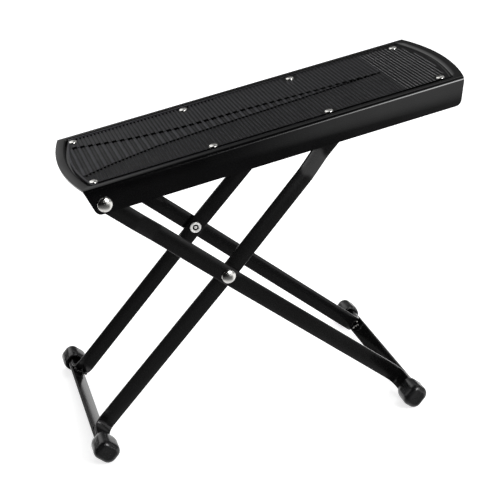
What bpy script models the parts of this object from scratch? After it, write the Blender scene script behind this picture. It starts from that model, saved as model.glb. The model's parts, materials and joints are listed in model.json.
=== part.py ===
"""Folding footrest: a pressed steel platform with a rubber tread on two crossed strap frames.

Lengths are in metres, +Z is up and X runs along the platform. The origin is on the ground
under the middle of the bounding box. Every leg lies in its own plane beside the next, so the
frames fold flat into the platform's channel.
"""

import math

import bmesh
import bpy

# Platform: one sheet with folded sides and arched, open ends
PLATFORM_LENGTH = 0.257
PLATFORM_WIDTH = 0.104
PLATFORM_END_BULGE = 0.0075
SHEET_THICKNESS = 0.0012
SHEET_BEND_RADIUS = 0.0022
FLANGE_DEPTH = 0.0184
FLANGE_END_LEAN = 0.0045
FLANGE_CORNER_RADIUS = 0.0045
PAN_DEPTH = 0.0026
PIVOT_FROM_END = 0.01055
PIVOT_DEPTH = 0.01235

# Tread mat in the platform's pan
RIM_WIDTH_SIDE = 0.0058
RIM_WIDTH_END = 0.0065
MAT_GROOVE = 0.0010
MAT_THICKNESS = 0.0018
MAT_CORNER_RADIUS = 0.0030
MAT_BORDER_WIDTH = 0.0016
MAT_BORDER_HEIGHT = 0.0003

# Small rivets that pin the mat
MAT_RIVETS_PER_SIDE = 4
MAT_RIVET_FROM_END = 0.0086
MAT_RIVET_FROM_FAR_END = 0.0111
MAT_RIVET_FROM_SIDE = 0.0125
MAT_RIVET_HEAD_RADIUS = 0.0029
MAT_RIVET_HEAD_HEIGHT = 0.0012
MAT_RIVET_SHANK_RADIUS = 0.0014
MAT_RIVET_TAIL_RADIUS = 0.0024
MAT_RIVET_TAIL_HEIGHT = 0.0010
MAT_RIVET_SEAT_DEPTH = 0.0007

# Flat strap frames
STRAP_WIDTH = 0.012
STRAP_THICKNESS = 0.002
STRAP_BEND_RADIUS = 0.0080
JOGGLE_BEND_RADIUS = 0.0120
CROSSING_TO_PIVOT = 0.10225
CROSSING_TO_ROD = 0.12640
CROSSING_TO_OUTER_FEET = 0.16385
CROSSING_TO_INNER_FEET = 0.13945
CROSSING_SEAT = 0.008
OUTER_JOGGLE_FROM_PIVOT = 0.0270
OUTER_JOGGLE_LENGTH = 0.0150
OUTER_FOOT_FROM_SIDE = 0.0110
INNER_JOGGLE_FROM_ROD = 0.0250
INNER_JOGGLE_LENGTH = 0.0170
INNER_JOGGLE_STEP = 0.0031
INNER_UPPER_LEAN = 0.0020
INNER_FOOT_FROM_SIDE = 0.0106
OUTER_BAR_OVERHANG = 0.0165
INNER_BAR_OVERHANG = 0.0140
TAB_SHORT_OF_BAR = 0.0015

# Pivot rivets, washers and the rod that drops into the notches
RIVET_HEAD_RADIUS = 0.0055
RIVET_HEAD_HEIGHT = 0.0020
RIVET_SHANK_RADIUS = 0.0030
RIVET_TAIL_RADIUS = 0.0041
RIVET_TAIL_HEIGHT = 0.0011
RIVET_BORE_RADIUS = 0.0020
RIVET_BORE_DEPTH = 0.0032
WASHER_RADIUS = 0.0056
PIVOT_WASHER_THICKNESS = 0.0025
CROSSING_WASHER_THICKNESS = 0.0006
HEAD_CLEARANCE = 0.0024
ROD_RADIUS = 0.0030
ROD_HEAD_RADIUS = 0.0042
ROD_HEAD_HEIGHT = 0.0009

# Notched racks under the platform
NOTCHES = 5
NOTCH_PITCH = 0.012
FIRST_NOTCH_FROM_PIVOT = 0.1663
NOTCH_DEPTH = 0.0036
NOTCH_LEAD = 0.0020
RACK_END_MARGIN = 0.0090
RACK_FROM_SIDE = 0.0270
RACK_FOOT_WIDTH = 0.0090

# Rubber feet
CAP_RADIUS = 0.0090
CAP_RIM_RADIUS = 0.0083
CAP_GRIP = 0.0110
CAP_END_CLEARANCE = 0.0015
CAP_TAPER_LENGTH = 0.0035
CAP_END_RADIUS = 0.0034
CAP_RIM_ROUND = 0.0008
CAP_END_WALL = 0.0030

# Fits and cutters
FIT_GAP = 0.0003
OVERRUN = 0.004

# Numbers of facets
ARC_STEPS = 16
BEND_STEPS = 5
ROUND_STEPS = 24
SMALL_ROUND_STEPS = 16
DOME_STEPS = 5

PLATFORM_HALF_WIDTH = PLATFORM_WIDTH / 2
FLANGE_INNER = PLATFORM_HALF_WIDTH - SHEET_THICKNESS
HOLE_RADIUS = RIVET_SHANK_RADIUS + FIT_GAP
ROD_HOLE_RADIUS = ROD_RADIUS + FIT_GAP
CAP_FLAT_RADIUS = CAP_RADIUS * math.cos(math.pi / ROUND_STEPS)
CAP_BORE_RADIUS = math.hypot(STRAP_WIDTH / 2, STRAP_THICKNESS + FIT_GAP / 2) + FIT_GAP

# Distances of the strap faces from the middle plane, from the flange inwards
OUTER_AT_PIVOT = FLANGE_INNER - PIVOT_WASHER_THICKNESS - 2 * FIT_GAP
OUTER_AT_CROSSING = FLANGE_INNER - HEAD_CLEARANCE - RIVET_HEAD_HEIGHT - FIT_GAP
INNER_AT_CROSSING = OUTER_AT_CROSSING - STRAP_THICKNESS - CROSSING_WASHER_THICKNESS - 2 * FIT_GAP
INNER_BELOW_JOGGLE = INNER_AT_CROSSING - INNER_UPPER_LEAN
INNER_AT_ROD = INNER_BELOW_JOGGLE - INNER_JOGGLE_STEP
OUTER_AT_FOOT = PLATFORM_HALF_WIDTH - OUTER_FOOT_FROM_SIDE
INNER_AT_FOOT = PLATFORM_HALF_WIDTH - INNER_FOOT_FROM_SIDE
OUTER_BAR_REACH = PLATFORM_HALF_WIDTH + OUTER_BAR_OVERHANG
INNER_BAR_REACH = PLATFORM_HALF_WIDTH + INNER_BAR_OVERHANG
RACK_HALF_SPACING = PLATFORM_HALF_WIDTH - RACK_FROM_SIDE


def triangle_angle(opposite, side_a, side_b):
    """Angle between two sides of a triangle, from its three lengths."""
    return math.acos((side_a ** 2 + side_b ** 2 - opposite ** 2) / (2 * side_a * side_b))


# Angles of the linkage with the rod at the first notch
PLATFORM_TO_OUTER = triangle_angle(CROSSING_TO_ROD, CROSSING_TO_PIVOT, FIRST_NOTCH_FROM_PIVOT)
CROSSING_ANGLE = triangle_angle(FIRST_NOTCH_FROM_PIVOT, CROSSING_TO_PIVOT, CROSSING_TO_ROD)
FEET_ANGLE = math.pi - CROSSING_ANGLE
OUTER_SLOPE = math.atan2(
    CROSSING_TO_INNER_FEET * math.sin(FEET_ANGLE),
    CROSSING_TO_OUTER_FEET + CROSSING_TO_INNER_FEET * math.cos(FEET_ANGLE),
)
INNER_SLOPE = FEET_ANGLE - OUTER_SLOPE
PLATFORM_SLOPE = PLATFORM_TO_OUTER - OUTER_SLOPE

# Places of the crossing and of the platform's pivot above the ground
PIVOT_BEFORE_CROSSING = CROSSING_TO_PIVOT * math.cos(OUTER_SLOPE)
LEFT_REACH = CROSSING_TO_INNER_FEET * math.cos(INNER_SLOPE) + CAP_FLAT_RADIUS
RIGHT_REACH = (
    (PLATFORM_LENGTH + PLATFORM_END_BULGE - PIVOT_FROM_END) * math.cos(PLATFORM_SLOPE)
    - (PIVOT_DEPTH - SHEET_THICKNESS) * math.sin(PLATFORM_SLOPE)
    - PIVOT_BEFORE_CROSSING
)
CROSSING_X = (LEFT_REACH - RIGHT_REACH) / 2
CROSSING_Z = CROSSING_TO_OUTER_FEET * math.sin(OUTER_SLOPE) + CAP_FLAT_RADIUS
PIVOT_X = CROSSING_X - PIVOT_BEFORE_CROSSING
PIVOT_Z = CROSSING_Z + CROSSING_TO_PIVOT * math.sin(OUTER_SLOPE)

SIDES = {"front": -1, "back": 1}


def clear_scene():
    """Removes every object, so the script can be run again."""
    for item in list(bpy.data.objects):
        bpy.data.objects.remove(item, do_unlink=True)


def make_collection(name):
    """Makes a collection in the scene."""
    collection = bpy.data.collections.new(name)
    bpy.context.scene.collection.children.link(collection)
    return collection


def make_material(name, color, roughness, metallic):
    """Makes a Principled BSDF material."""
    material = bpy.data.materials.new(name)
    material.use_nodes = True
    shader = material.node_tree.nodes["Principled BSDF"]
    shader.inputs["Base Color"].default_value = (*color, 1.0)
    shader.inputs["Roughness"].default_value = roughness
    shader.inputs["Metallic"].default_value = metallic
    return material


clear_scene()
PARTS = make_collection("folding_footrest")
CUTTERS = make_collection("cutters")
PAINT = make_material("black_gloss_paint", (0.012, 0.012, 0.013), 0.28, 0.0)
TREAD = make_material("black_tread_rubber", (0.055, 0.055, 0.058), 0.6, 0.0)
RUBBER = make_material("dark_foot_rubber", (0.045, 0.045, 0.048), 0.7, 0.0)
STEEL = make_material("polished_steel", (0.78, 0.78, 0.77), 0.18, 1.0)
ZINC = make_material("zinc_steel", (0.62, 0.63, 0.64), 0.35, 1.0)
NYLON = make_material("black_nylon", (0.03, 0.03, 0.032), 0.5, 0.0)


def make_frame(name, x, z, slope):
    """Makes an empty on a joint's axis, with its X axis turned down by the slope."""
    empty = bpy.data.objects.new(name, None)
    PARTS.objects.link(empty)
    empty.location = (x, 0, z)
    empty.rotation_euler = (0, slope, 0)
    return empty


OUTER_FRAME = make_frame("outer_frame", CROSSING_X, CROSSING_Z, OUTER_SLOPE)
INNER_FRAME = make_frame("inner_frame", CROSSING_X, CROSSING_Z, -INNER_SLOPE)
PLATFORM_FRAME = make_frame("platform_frame", PIVOT_X, PIVOT_Z, -PLATFORM_SLOPE)


def add_part(name, mesh, parent, material):
    """Adds a mesh as a named sub-part under its frame."""
    part = bpy.data.objects.new(name, mesh)
    PARTS.objects.link(part)
    part.parent = parent
    part.data.materials.clear()
    part.data.materials.append(material)
    return part


def add_cutter(name, mesh, parent):
    """Adds a mesh as a guide or cutter, which isn't part of the object."""
    cutter = bpy.data.objects.new(name, mesh)
    CUTTERS.objects.link(cutter)
    cutter.parent = parent
    cutter.hide_render = True
    cutter.display_type = "WIRE"
    return cutter


def combine(part, other, operation):
    """Adds an exact Boolean of the part with another object."""
    modifier = part.modifiers.new(operation.lower(), "BOOLEAN")
    modifier.operation = operation
    modifier.solver = "EXACT"
    modifier.object = other


def curve_mesh(name, points, half_extrude, closed):
    """Turns a flat outline into a plate, or an open line into a ribbon, centred on its plane."""
    curve = bpy.data.curves.new(name, "CURVE")
    curve.dimensions = "2D" if closed else "3D"
    curve.fill_mode = "BOTH" if closed else "FULL"
    curve.extrude = half_extrude
    spline = curve.splines.new("POLY")
    spline.points.add(len(points) - 1)
    for point, (x, y) in zip(spline.points, points):
        point.co = (x, y, 0, 1)
    spline.use_cyclic_u = closed
    holder = bpy.data.objects.new(name, curve)
    bpy.context.scene.collection.objects.link(holder)
    bpy.context.view_layer.update()
    evaluated = holder.evaluated_get(bpy.context.evaluated_depsgraph_get())
    mesh = bpy.data.meshes.new_from_object(evaluated)
    bpy.data.objects.remove(holder, do_unlink=True)
    bpy.data.curves.remove(curve)
    shape = bmesh.new()
    shape.from_mesh(mesh)
    bmesh.ops.remove_doubles(shape, verts=shape.verts, dist=FIT_GAP / 100)
    bmesh.ops.recalc_face_normals(shape, faces=shape.faces)
    shape.to_mesh(mesh)
    shape.free()
    return mesh


def plate_xy(name, outline, low, high):
    """A plate with its outline in the XY plane, from one height to another."""
    mesh = curve_mesh(name, outline, (high - low) / 2, True)
    for vertex in mesh.vertices:
        vertex.co.z += (low + high) / 2
    return mesh


def plate_xz(name, outline, low, high):
    """A plate with its outline in the XZ plane, from one Y to another."""
    mesh = curve_mesh(name, outline, (high - low) / 2, True)
    for vertex in mesh.vertices:
        x, z, y = vertex.co
        vertex.co = (x, (low + high) / 2 - y, z)
    return mesh


def plate_yz(name, outline, low, high):
    """A plate with its outline in the YZ plane, from one X to another."""
    mesh = curve_mesh(name, outline, (high - low) / 2, True)
    for vertex in mesh.vertices:
        y, z, x = vertex.co
        vertex.co = ((low + high) / 2 + x, y, z)
    return mesh


def turned_mesh(name, profile, axis, steps, place):
    """Turns a closed profile of (radius, distance along the axis) pairs about an axis."""
    shape = bmesh.new()
    ring = []
    for radius, distance in profile:
        start = (radius, 0, distance) if axis == "Z" else (radius, distance, 0)
        ring.append(shape.verts.new(start))
    pairs = zip(ring, ring[1:] + ring[:1])
    edges = [shape.edges.new((a, b)) for a, b in pairs if a.co.x > 0 or b.co.x > 0]
    turn_axis = (0, 0, 1) if axis == "Z" else (0, 1, 0)
    bmesh.ops.spin(
        shape,
        geom=ring + edges,
        cent=(0, 0, 0),
        axis=turn_axis,
        angle=2 * math.pi,
        steps=steps,
        use_merge=True,
        use_duplicate=False,
    )
    bmesh.ops.remove_doubles(shape, verts=shape.verts, dist=FIT_GAP / 100)
    bmesh.ops.dissolve_degenerate(shape, edges=shape.edges, dist=FIT_GAP / 100)
    bmesh.ops.recalc_face_normals(shape, faces=shape.faces)
    bmesh.ops.translate(shape, verts=shape.verts, vec=place)
    mesh = bpy.data.meshes.new(name)
    shape.to_mesh(mesh)
    shape.free()
    mesh.shade_smooth()
    mesh.set_sharp_from_angle(angle=math.radians(35))
    return mesh


def cylinder_mesh(name, radius, low, high, axis, steps, place):
    """A plain cylinder along Y or Z, for a bore."""
    profile = [(0, low), (radius, low), (radius, high), (0, high)]
    return turned_mesh(name, profile, axis, steps, place)


def fillet(points, radius, steps, closed):
    """Rounds the corners of a line or outline with arcs, where the runs leave room."""
    count = len(points)
    rounded = []
    for index, corner in enumerate(points):
        if not closed and index in (0, count - 1):
            rounded.append(corner)
            continue
        before = points[index - 1]
        after = points[(index + 1) % count]
        to_before = (before[0] - corner[0], before[1] - corner[1])
        to_after = (after[0] - corner[0], after[1] - corner[1])
        run_before = math.hypot(*to_before)
        run_after = math.hypot(*to_after)
        unit_before = (to_before[0] / run_before, to_before[1] / run_before)
        unit_after = (to_after[0] / run_after, to_after[1] / run_after)
        cosine = unit_before[0] * unit_after[0] + unit_before[1] * unit_after[1]
        half = math.acos(max(-1.0, min(1.0, cosine))) / 2
        tangent = min(radius / math.tan(half), 0.45 * run_before, 0.45 * run_after)
        true_radius = tangent * math.tan(half)
        middle = (unit_before[0] + unit_after[0], unit_before[1] + unit_after[1])
        length = math.hypot(*middle)
        if length == 0:
            rounded.append(corner)
            continue
        reach = true_radius / math.sin(half) / length
        centre = (corner[0] + middle[0] * reach, corner[1] + middle[1] * reach)
        start = (corner[0] + unit_before[0] * tangent, corner[1] + unit_before[1] * tangent)
        end = (corner[0] + unit_after[0] * tangent, corner[1] + unit_after[1] * tangent)
        first = math.atan2(start[1] - centre[1], start[0] - centre[0])
        last = math.atan2(end[1] - centre[1], end[0] - centre[0])
        sweep = (last - first + math.pi) % (2 * math.pi) - math.pi
        for step in range(steps + 1):
            angle = first + sweep * step / steps
            rounded.append(
                (centre[0] + true_radius * math.cos(angle), centre[1] + true_radius * math.sin(angle))
            )
    return rounded


def arched_outline(left, right, half_width, end_radius):
    """An oblong whose short ends are arcs of a large radius, out to their tips left and right."""
    half_angle = math.asin(half_width / end_radius)
    outline = []
    for side, tip in ((1, right), (-1, left)):
        centre = tip - side * end_radius
        for step in range(ARC_STEPS + 1):
            angle = half_angle * (2 * step / ARC_STEPS - 1)
            outline.append((centre + side * end_radius * math.cos(angle), side * end_radius * math.sin(angle)))
    return outline


END_RADIUS = (PLATFORM_HALF_WIDTH ** 2 + PLATFORM_END_BULGE ** 2) / (2 * PLATFORM_END_BULGE)
TRAY_LEFT = -PIVOT_FROM_END
TRAY_RIGHT = TRAY_LEFT + PLATFORM_LENGTH
TRAY_TOP = PIVOT_DEPTH
PAN_FLOOR = TRAY_TOP - PAN_DEPTH
PAN_UNDERSIDE = PAN_FLOOR - SHEET_THICKNESS


def pan_outline(inset_side, inset_end):
    """The arched outline inside the platform's rim."""
    left = TRAY_LEFT - PLATFORM_END_BULGE + inset_end
    right = TRAY_RIGHT + PLATFORM_END_BULGE - inset_end
    half_width = PLATFORM_HALF_WIDTH - inset_side
    outline = arched_outline(left, right, half_width, END_RADIUS - inset_end)
    corners = {0, ARC_STEPS, ARC_STEPS + 1, 2 * ARC_STEPS + 1}
    rounded = []
    for index, point in enumerate(outline):
        if index not in corners:
            rounded.append(point)
            continue
        before = outline[index - 1]
        after = outline[(index + 1) % len(outline)]
        rounded.extend(fillet([before, point, after], MAT_CORNER_RADIUS, BEND_STEPS, False)[1:-1])
    return rounded


def mat_rivet_places():
    """The name, X and Y of each small rivet on the mat."""
    first = TRAY_LEFT + MAT_RIVET_FROM_END
    last = TRAY_RIGHT - MAT_RIVET_FROM_FAR_END
    pitch = (last - first) / (MAT_RIVETS_PER_SIDE - 1)
    for side, sign in SIDES.items():
        for number in range(MAT_RIVETS_PER_SIDE):
            name = f"mat_rivet_{side}_{number + 1}"
            yield name, first + number * pitch, sign * (PLATFORM_HALF_WIDTH - MAT_RIVET_FROM_SIDE)


def build_platform_tray():
    """The pressed sheet: an inverted channel with arched ends and a shallow pan."""
    bottom = TRAY_TOP - FLANGE_DEPTH
    below = bottom - OVERRUN
    outer = [
        (-PLATFORM_HALF_WIDTH, below),
        (-PLATFORM_HALF_WIDTH, TRAY_TOP),
        (PLATFORM_HALF_WIDTH, TRAY_TOP),
        (PLATFORM_HALF_WIDTH, below),
    ]
    inner = [
        (FLANGE_INNER, below),
        (FLANGE_INNER, TRAY_TOP - SHEET_THICKNESS),
        (-FLANGE_INNER, TRAY_TOP - SHEET_THICKNESS),
        (-FLANGE_INNER, below),
    ]
    inner_radius = SHEET_BEND_RADIUS - SHEET_THICKNESS
    channel = fillet(outer, SHEET_BEND_RADIUS, BEND_STEPS, False)
    channel += fillet(inner, inner_radius, BEND_STEPS, False)
    far_left = TRAY_LEFT - PLATFORM_END_BULGE - OVERRUN
    far_right = TRAY_RIGHT + PLATFORM_END_BULGE + OVERRUN
    mesh = plate_yz("platform_tray", channel, far_left, far_right)
    tray = add_part("platform_tray", mesh, PLATFORM_FRAME, PAINT)

    plan = arched_outline(
        TRAY_LEFT - PLATFORM_END_BULGE,
        TRAY_RIGHT + PLATFORM_END_BULGE,
        PLATFORM_HALF_WIDTH + OVERRUN,
        END_RADIUS,
    )
    plan_mesh = plate_xy("tray_plan", plan, below - OVERRUN, TRAY_TOP + OVERRUN)
    combine(tray, add_cutter("tray_plan", plan_mesh, PLATFORM_FRAME), "INTERSECT")

    shoulder = TRAY_TOP - SHEET_BEND_RADIUS
    lower = fillet(
        [
            (TRAY_RIGHT, shoulder),
            (TRAY_RIGHT - FLANGE_END_LEAN, bottom),
            (TRAY_LEFT + FLANGE_END_LEAN, bottom),
            (TRAY_LEFT, shoulder),
        ],
        FLANGE_CORNER_RADIUS,
        BEND_STEPS,
        False,
    )
    side = [(far_left, shoulder), (far_left, TRAY_TOP + OVERRUN), (far_right, TRAY_TOP + OVERRUN)]
    side += [(far_right, shoulder)] + lower
    side_mesh = plate_xz("tray_side", side, -PLATFORM_WIDTH, PLATFORM_WIDTH)
    combine(tray, add_cutter("tray_side", side_mesh, PLATFORM_FRAME), "INTERSECT")

    wall_side = RIM_WIDTH_SIDE - SHEET_THICKNESS
    wall_end = RIM_WIDTH_END - SHEET_THICKNESS
    pan = plate_xy("tray_pan", pan_outline(wall_side, wall_end), PAN_UNDERSIDE, TRAY_TOP - SHEET_THICKNESS / 2)
    combine(tray, add_cutter("tray_pan", pan, PLATFORM_FRAME), "UNION")
    pocket = plate_xy("tray_pocket", pan_outline(RIM_WIDTH_SIDE, RIM_WIDTH_END), PAN_FLOOR, TRAY_TOP + OVERRUN)
    combine(tray, add_cutter("tray_pocket", pocket, PLATFORM_FRAME), "DIFFERENCE")

    pivot_bore = cylinder_mesh(
        "tray_pivot_bore", HOLE_RADIUS, -PLATFORM_WIDTH, PLATFORM_WIDTH, "Y", ROUND_STEPS, (0, 0, 0)
    )
    combine(tray, add_cutter("tray_pivot_bore", pivot_bore, PLATFORM_FRAME), "DIFFERENCE")
    for name, x, y in mat_rivet_places():
        bore = cylinder_mesh(
            name, MAT_RIVET_SHANK_RADIUS + FIT_GAP, PAN_UNDERSIDE - OVERRUN, TRAY_TOP + OVERRUN,
            "Z", SMALL_ROUND_STEPS, (x, y, 0),
        )
        combine(tray, add_cutter(f"tray_bore_{name}", bore, PLATFORM_FRAME), "DIFFERENCE")


MAT_BOTTOM = PAN_FLOOR + FIT_GAP
MAT_TOP = MAT_BOTTOM + MAT_THICKNESS
MAT_RIVET_SEAT = MAT_TOP - MAT_RIVET_SEAT_DEPTH


def build_tread_mat():
    """The rubber tread: an arched sheet with a raised border, pinned at eight sunk seats."""
    inset_side = RIM_WIDTH_SIDE + MAT_GROOVE
    inset_end = RIM_WIDTH_END + MAT_GROOVE
    mesh = plate_xy("tread_mat", pan_outline(inset_side, inset_end), MAT_BOTTOM, MAT_TOP + MAT_BORDER_HEIGHT)
    mat = add_part("tread_mat", mesh, PLATFORM_FRAME, TREAD)
    field = pan_outline(inset_side + MAT_BORDER_WIDTH, inset_end + MAT_BORDER_WIDTH)
    field_mesh = plate_xy("mat_field", field, MAT_TOP, MAT_TOP + OVERRUN)
    combine(mat, add_cutter("mat_field", field_mesh, PLATFORM_FRAME), "DIFFERENCE")
    for name, x, y in mat_rivet_places():
        seat_radius = MAT_RIVET_HEAD_RADIUS + FIT_GAP
        profile = [
            (0, MAT_BOTTOM - OVERRUN),
            (MAT_RIVET_SHANK_RADIUS + FIT_GAP, MAT_BOTTOM - OVERRUN),
            (MAT_RIVET_SHANK_RADIUS + FIT_GAP, MAT_RIVET_SEAT),
            (seat_radius, MAT_RIVET_SEAT),
            (seat_radius, MAT_TOP + OVERRUN),
            (0, MAT_TOP + OVERRUN),
        ]
        bore = turned_mesh(name, profile, "Z", SMALL_ROUND_STEPS, (x, y, 0))
        combine(mat, add_cutter(f"mat_seat_{name}", bore, PLATFORM_FRAME), "DIFFERENCE")


def dome_points(radius, height, base, direction):
    """A low dome's profile, from its rim to its tip on the axis."""
    edge = height / 4
    points = [(radius, base)]
    for step in range(DOME_STEPS):
        angle = math.pi / 2 * step / DOME_STEPS
        rise = edge + (height - edge) * math.sin(angle)
        points.append((radius * math.cos(angle), base + direction * rise))
    return points + [(0, base + direction * height)]


def build_mat_rivets():
    """Eight small dome rivets through the mat and the pan."""
    head_base = MAT_RIVET_SEAT + FIT_GAP
    tail_top = PAN_UNDERSIDE - FIT_GAP
    profile = dome_points(MAT_RIVET_HEAD_RADIUS, MAT_RIVET_HEAD_HEIGHT, head_base, 1)
    profile += [
        (0, tail_top - MAT_RIVET_TAIL_HEIGHT),
        (MAT_RIVET_TAIL_RADIUS, tail_top - MAT_RIVET_TAIL_HEIGHT),
        (MAT_RIVET_TAIL_RADIUS, tail_top),
        (MAT_RIVET_SHANK_RADIUS, tail_top),
        (MAT_RIVET_SHANK_RADIUS, head_base),
    ]
    for name, x, y in mat_rivet_places():
        mesh = turned_mesh(name, profile, "Z", SMALL_ROUND_STEPS, (x, y, 0))
        add_part(name, mesh, PLATFORM_FRAME, STEEL)


def strap_leg(name, sign, path, round_at, parent, frame_bores):
    """A leg of flat strap: a ribbon along its path, given thickness, rounded at one end and bored.

    The path holds (distance along the leg, distance from the middle plane) pairs at mid-thickness.
    """
    points = [(x, sign * y) for x, y in path]
    mesh = curve_mesh(name, points, STRAP_WIDTH / 2, False)
    leg = add_part(name, mesh, parent, PAINT)
    wall = leg.modifiers.new("thickness", "SOLIDIFY")
    wall.thickness = STRAP_THICKNESS
    wall.offset = 0
    wall.use_even_offset = True
    radius = STRAP_WIDTH / 2
    towards = 1 if round_at > 0 else -1
    far = -towards * (CROSSING_TO_OUTER_FEET + OVERRUN)
    outline = [(far, radius), (far, -radius)] if towards > 0 else [(far, -radius), (far, radius)]
    for step in range(ROUND_STEPS // 2 + 1):
        angle = math.pi * step / (ROUND_STEPS // 2) - math.pi / 2
        outline.append((round_at + towards * radius * math.cos(angle), towards * radius * math.sin(angle)))
    outline_mesh = plate_xz(f"{name}_outline", outline, -PLATFORM_WIDTH, PLATFORM_WIDTH)
    combine(leg, add_cutter(f"{name}_outline", outline_mesh, parent), "INTERSECT")
    for place, bore_radius in frame_bores:
        bore = cylinder_mesh(
            f"{name}_bore", bore_radius, -PLATFORM_WIDTH, PLATFORM_WIDTH, "Y", ROUND_STEPS, (place, 0, 0)
        )
        combine(leg, add_cutter(f"{name}_bore", bore, parent), "DIFFERENCE")


def rounded_path(points, foot_index):
    """Rounds a leg's path: gentle joggles, and the tight bend where it turns out to its tab."""
    path = []
    for index, point in enumerate(points):
        if index in (0, len(points) - 1):
            path.append(point)
            continue
        radius = STRAP_BEND_RADIUS if index == foot_index else JOGGLE_BEND_RADIUS
        steps = 2 * BEND_STEPS if index == foot_index else 2
        path.extend(fillet(points[index - 1:index + 2], radius, steps, False)[1:-1])
    return path


HALF_STRAP = STRAP_THICKNESS / 2
TAB_OFFSET = (STRAP_THICKNESS + FIT_GAP) / 2


def build_outer_frame():
    """The outer legs, which hang on the platform's pivot, and their foot bar."""
    pivot_end = -CROSSING_TO_PIVOT
    joggle = pivot_end + OUTER_JOGGLE_FROM_PIVOT
    tab = CROSSING_TO_OUTER_FEET - TAB_OFFSET
    points = [
        (pivot_end - STRAP_WIDTH / 2, OUTER_AT_PIVOT - HALF_STRAP),
        (joggle, OUTER_AT_PIVOT - HALF_STRAP),
        (joggle + OUTER_JOGGLE_LENGTH, OUTER_AT_CROSSING - HALF_STRAP),
        (CROSSING_SEAT, OUTER_AT_CROSSING - HALF_STRAP),
        (tab, OUTER_AT_FOOT - HALF_STRAP),
        (tab, OUTER_BAR_REACH - TAB_SHORT_OF_BAR),
    ]
    path = rounded_path(points, 4)
    bores = [(pivot_end, HOLE_RADIUS), (0, HOLE_RADIUS)]
    for side, sign in SIDES.items():
        strap_leg(f"outer_leg_{side}", sign, path, pivot_end, OUTER_FRAME, bores)
    place = CROSSING_TO_OUTER_FEET + TAB_OFFSET
    build_foot_bar("outer_foot_bar", place, OUTER_BAR_REACH, OUTER_FRAME)


def build_inner_frame():
    """The inner legs, which carry the rod at their top, and their foot bar."""
    joggle = CROSSING_TO_ROD - INNER_JOGGLE_FROM_ROD
    tab = -(CROSSING_TO_INNER_FEET - TAB_OFFSET)
    points = [
        (CROSSING_TO_ROD + STRAP_WIDTH / 2, INNER_AT_ROD - HALF_STRAP),
        (joggle, INNER_AT_ROD - HALF_STRAP),
        (joggle - INNER_JOGGLE_LENGTH, INNER_BELOW_JOGGLE - HALF_STRAP),
        (CROSSING_SEAT, INNER_AT_CROSSING - HALF_STRAP),
        (-CROSSING_SEAT, INNER_AT_CROSSING - HALF_STRAP),
        (tab, INNER_AT_FOOT - HALF_STRAP),
        (tab, INNER_BAR_REACH - TAB_SHORT_OF_BAR),
    ]
    path = rounded_path(points, 5)
    bores = [(CROSSING_TO_ROD, ROD_HOLE_RADIUS), (0, HOLE_RADIUS)]
    for side, sign in SIDES.items():
        strap_leg(f"inner_leg_{side}", sign, path, CROSSING_TO_ROD, INNER_FRAME, bores)
    place = -(CROSSING_TO_INNER_FEET + TAB_OFFSET)
    build_foot_bar("inner_foot_bar", place, INNER_BAR_REACH, INNER_FRAME)


def build_foot_bar(name, place, reach, parent):
    """A flat crossbar, welded under the tabs of two legs."""
    half_width = STRAP_WIDTH / 2
    outline = [
        (place - HALF_STRAP, -half_width),
        (place + HALF_STRAP, -half_width),
        (place + HALF_STRAP, half_width),
        (place - HALF_STRAP, half_width),
    ]
    add_part(name, plate_xz(name, outline, -reach, reach), parent, PAINT)


def pivot_rivet_profile(head_base, tail_base):
    """A domed head, a shank and a rolled tail with an open bore, along the rivet's axis."""
    tail_end = tail_base - RIVET_TAIL_HEIGHT
    roll = RIVET_TAIL_HEIGHT / 3
    return dome_points(RIVET_HEAD_RADIUS, RIVET_HEAD_HEIGHT, head_base, 1) + [
        (0, tail_end + RIVET_BORE_DEPTH),
        (RIVET_BORE_RADIUS, tail_end + RIVET_BORE_DEPTH),
        (RIVET_BORE_RADIUS, tail_end + roll),
        (RIVET_BORE_RADIUS + roll, tail_end),
        (RIVET_TAIL_RADIUS - roll, tail_end),
        (RIVET_TAIL_RADIUS, tail_end + roll),
        (RIVET_TAIL_RADIUS, tail_base),
        (RIVET_SHANK_RADIUS, tail_base),
        (RIVET_SHANK_RADIUS, head_base),
    ]


def washer_mesh(name, inner_face, thickness, sign):
    """A flat ring on a rivet's shank."""
    bore = RIVET_SHANK_RADIUS + FIT_GAP
    outer_face = inner_face + thickness
    profile = [(bore, inner_face), (WASHER_RADIUS, inner_face), (WASHER_RADIUS, outer_face), (bore, outer_face)]
    mirrored = [(radius, sign * distance) for radius, distance in profile]
    return turned_mesh(name, mirrored, "Y", ROUND_STEPS, (0, 0, 0))


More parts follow.
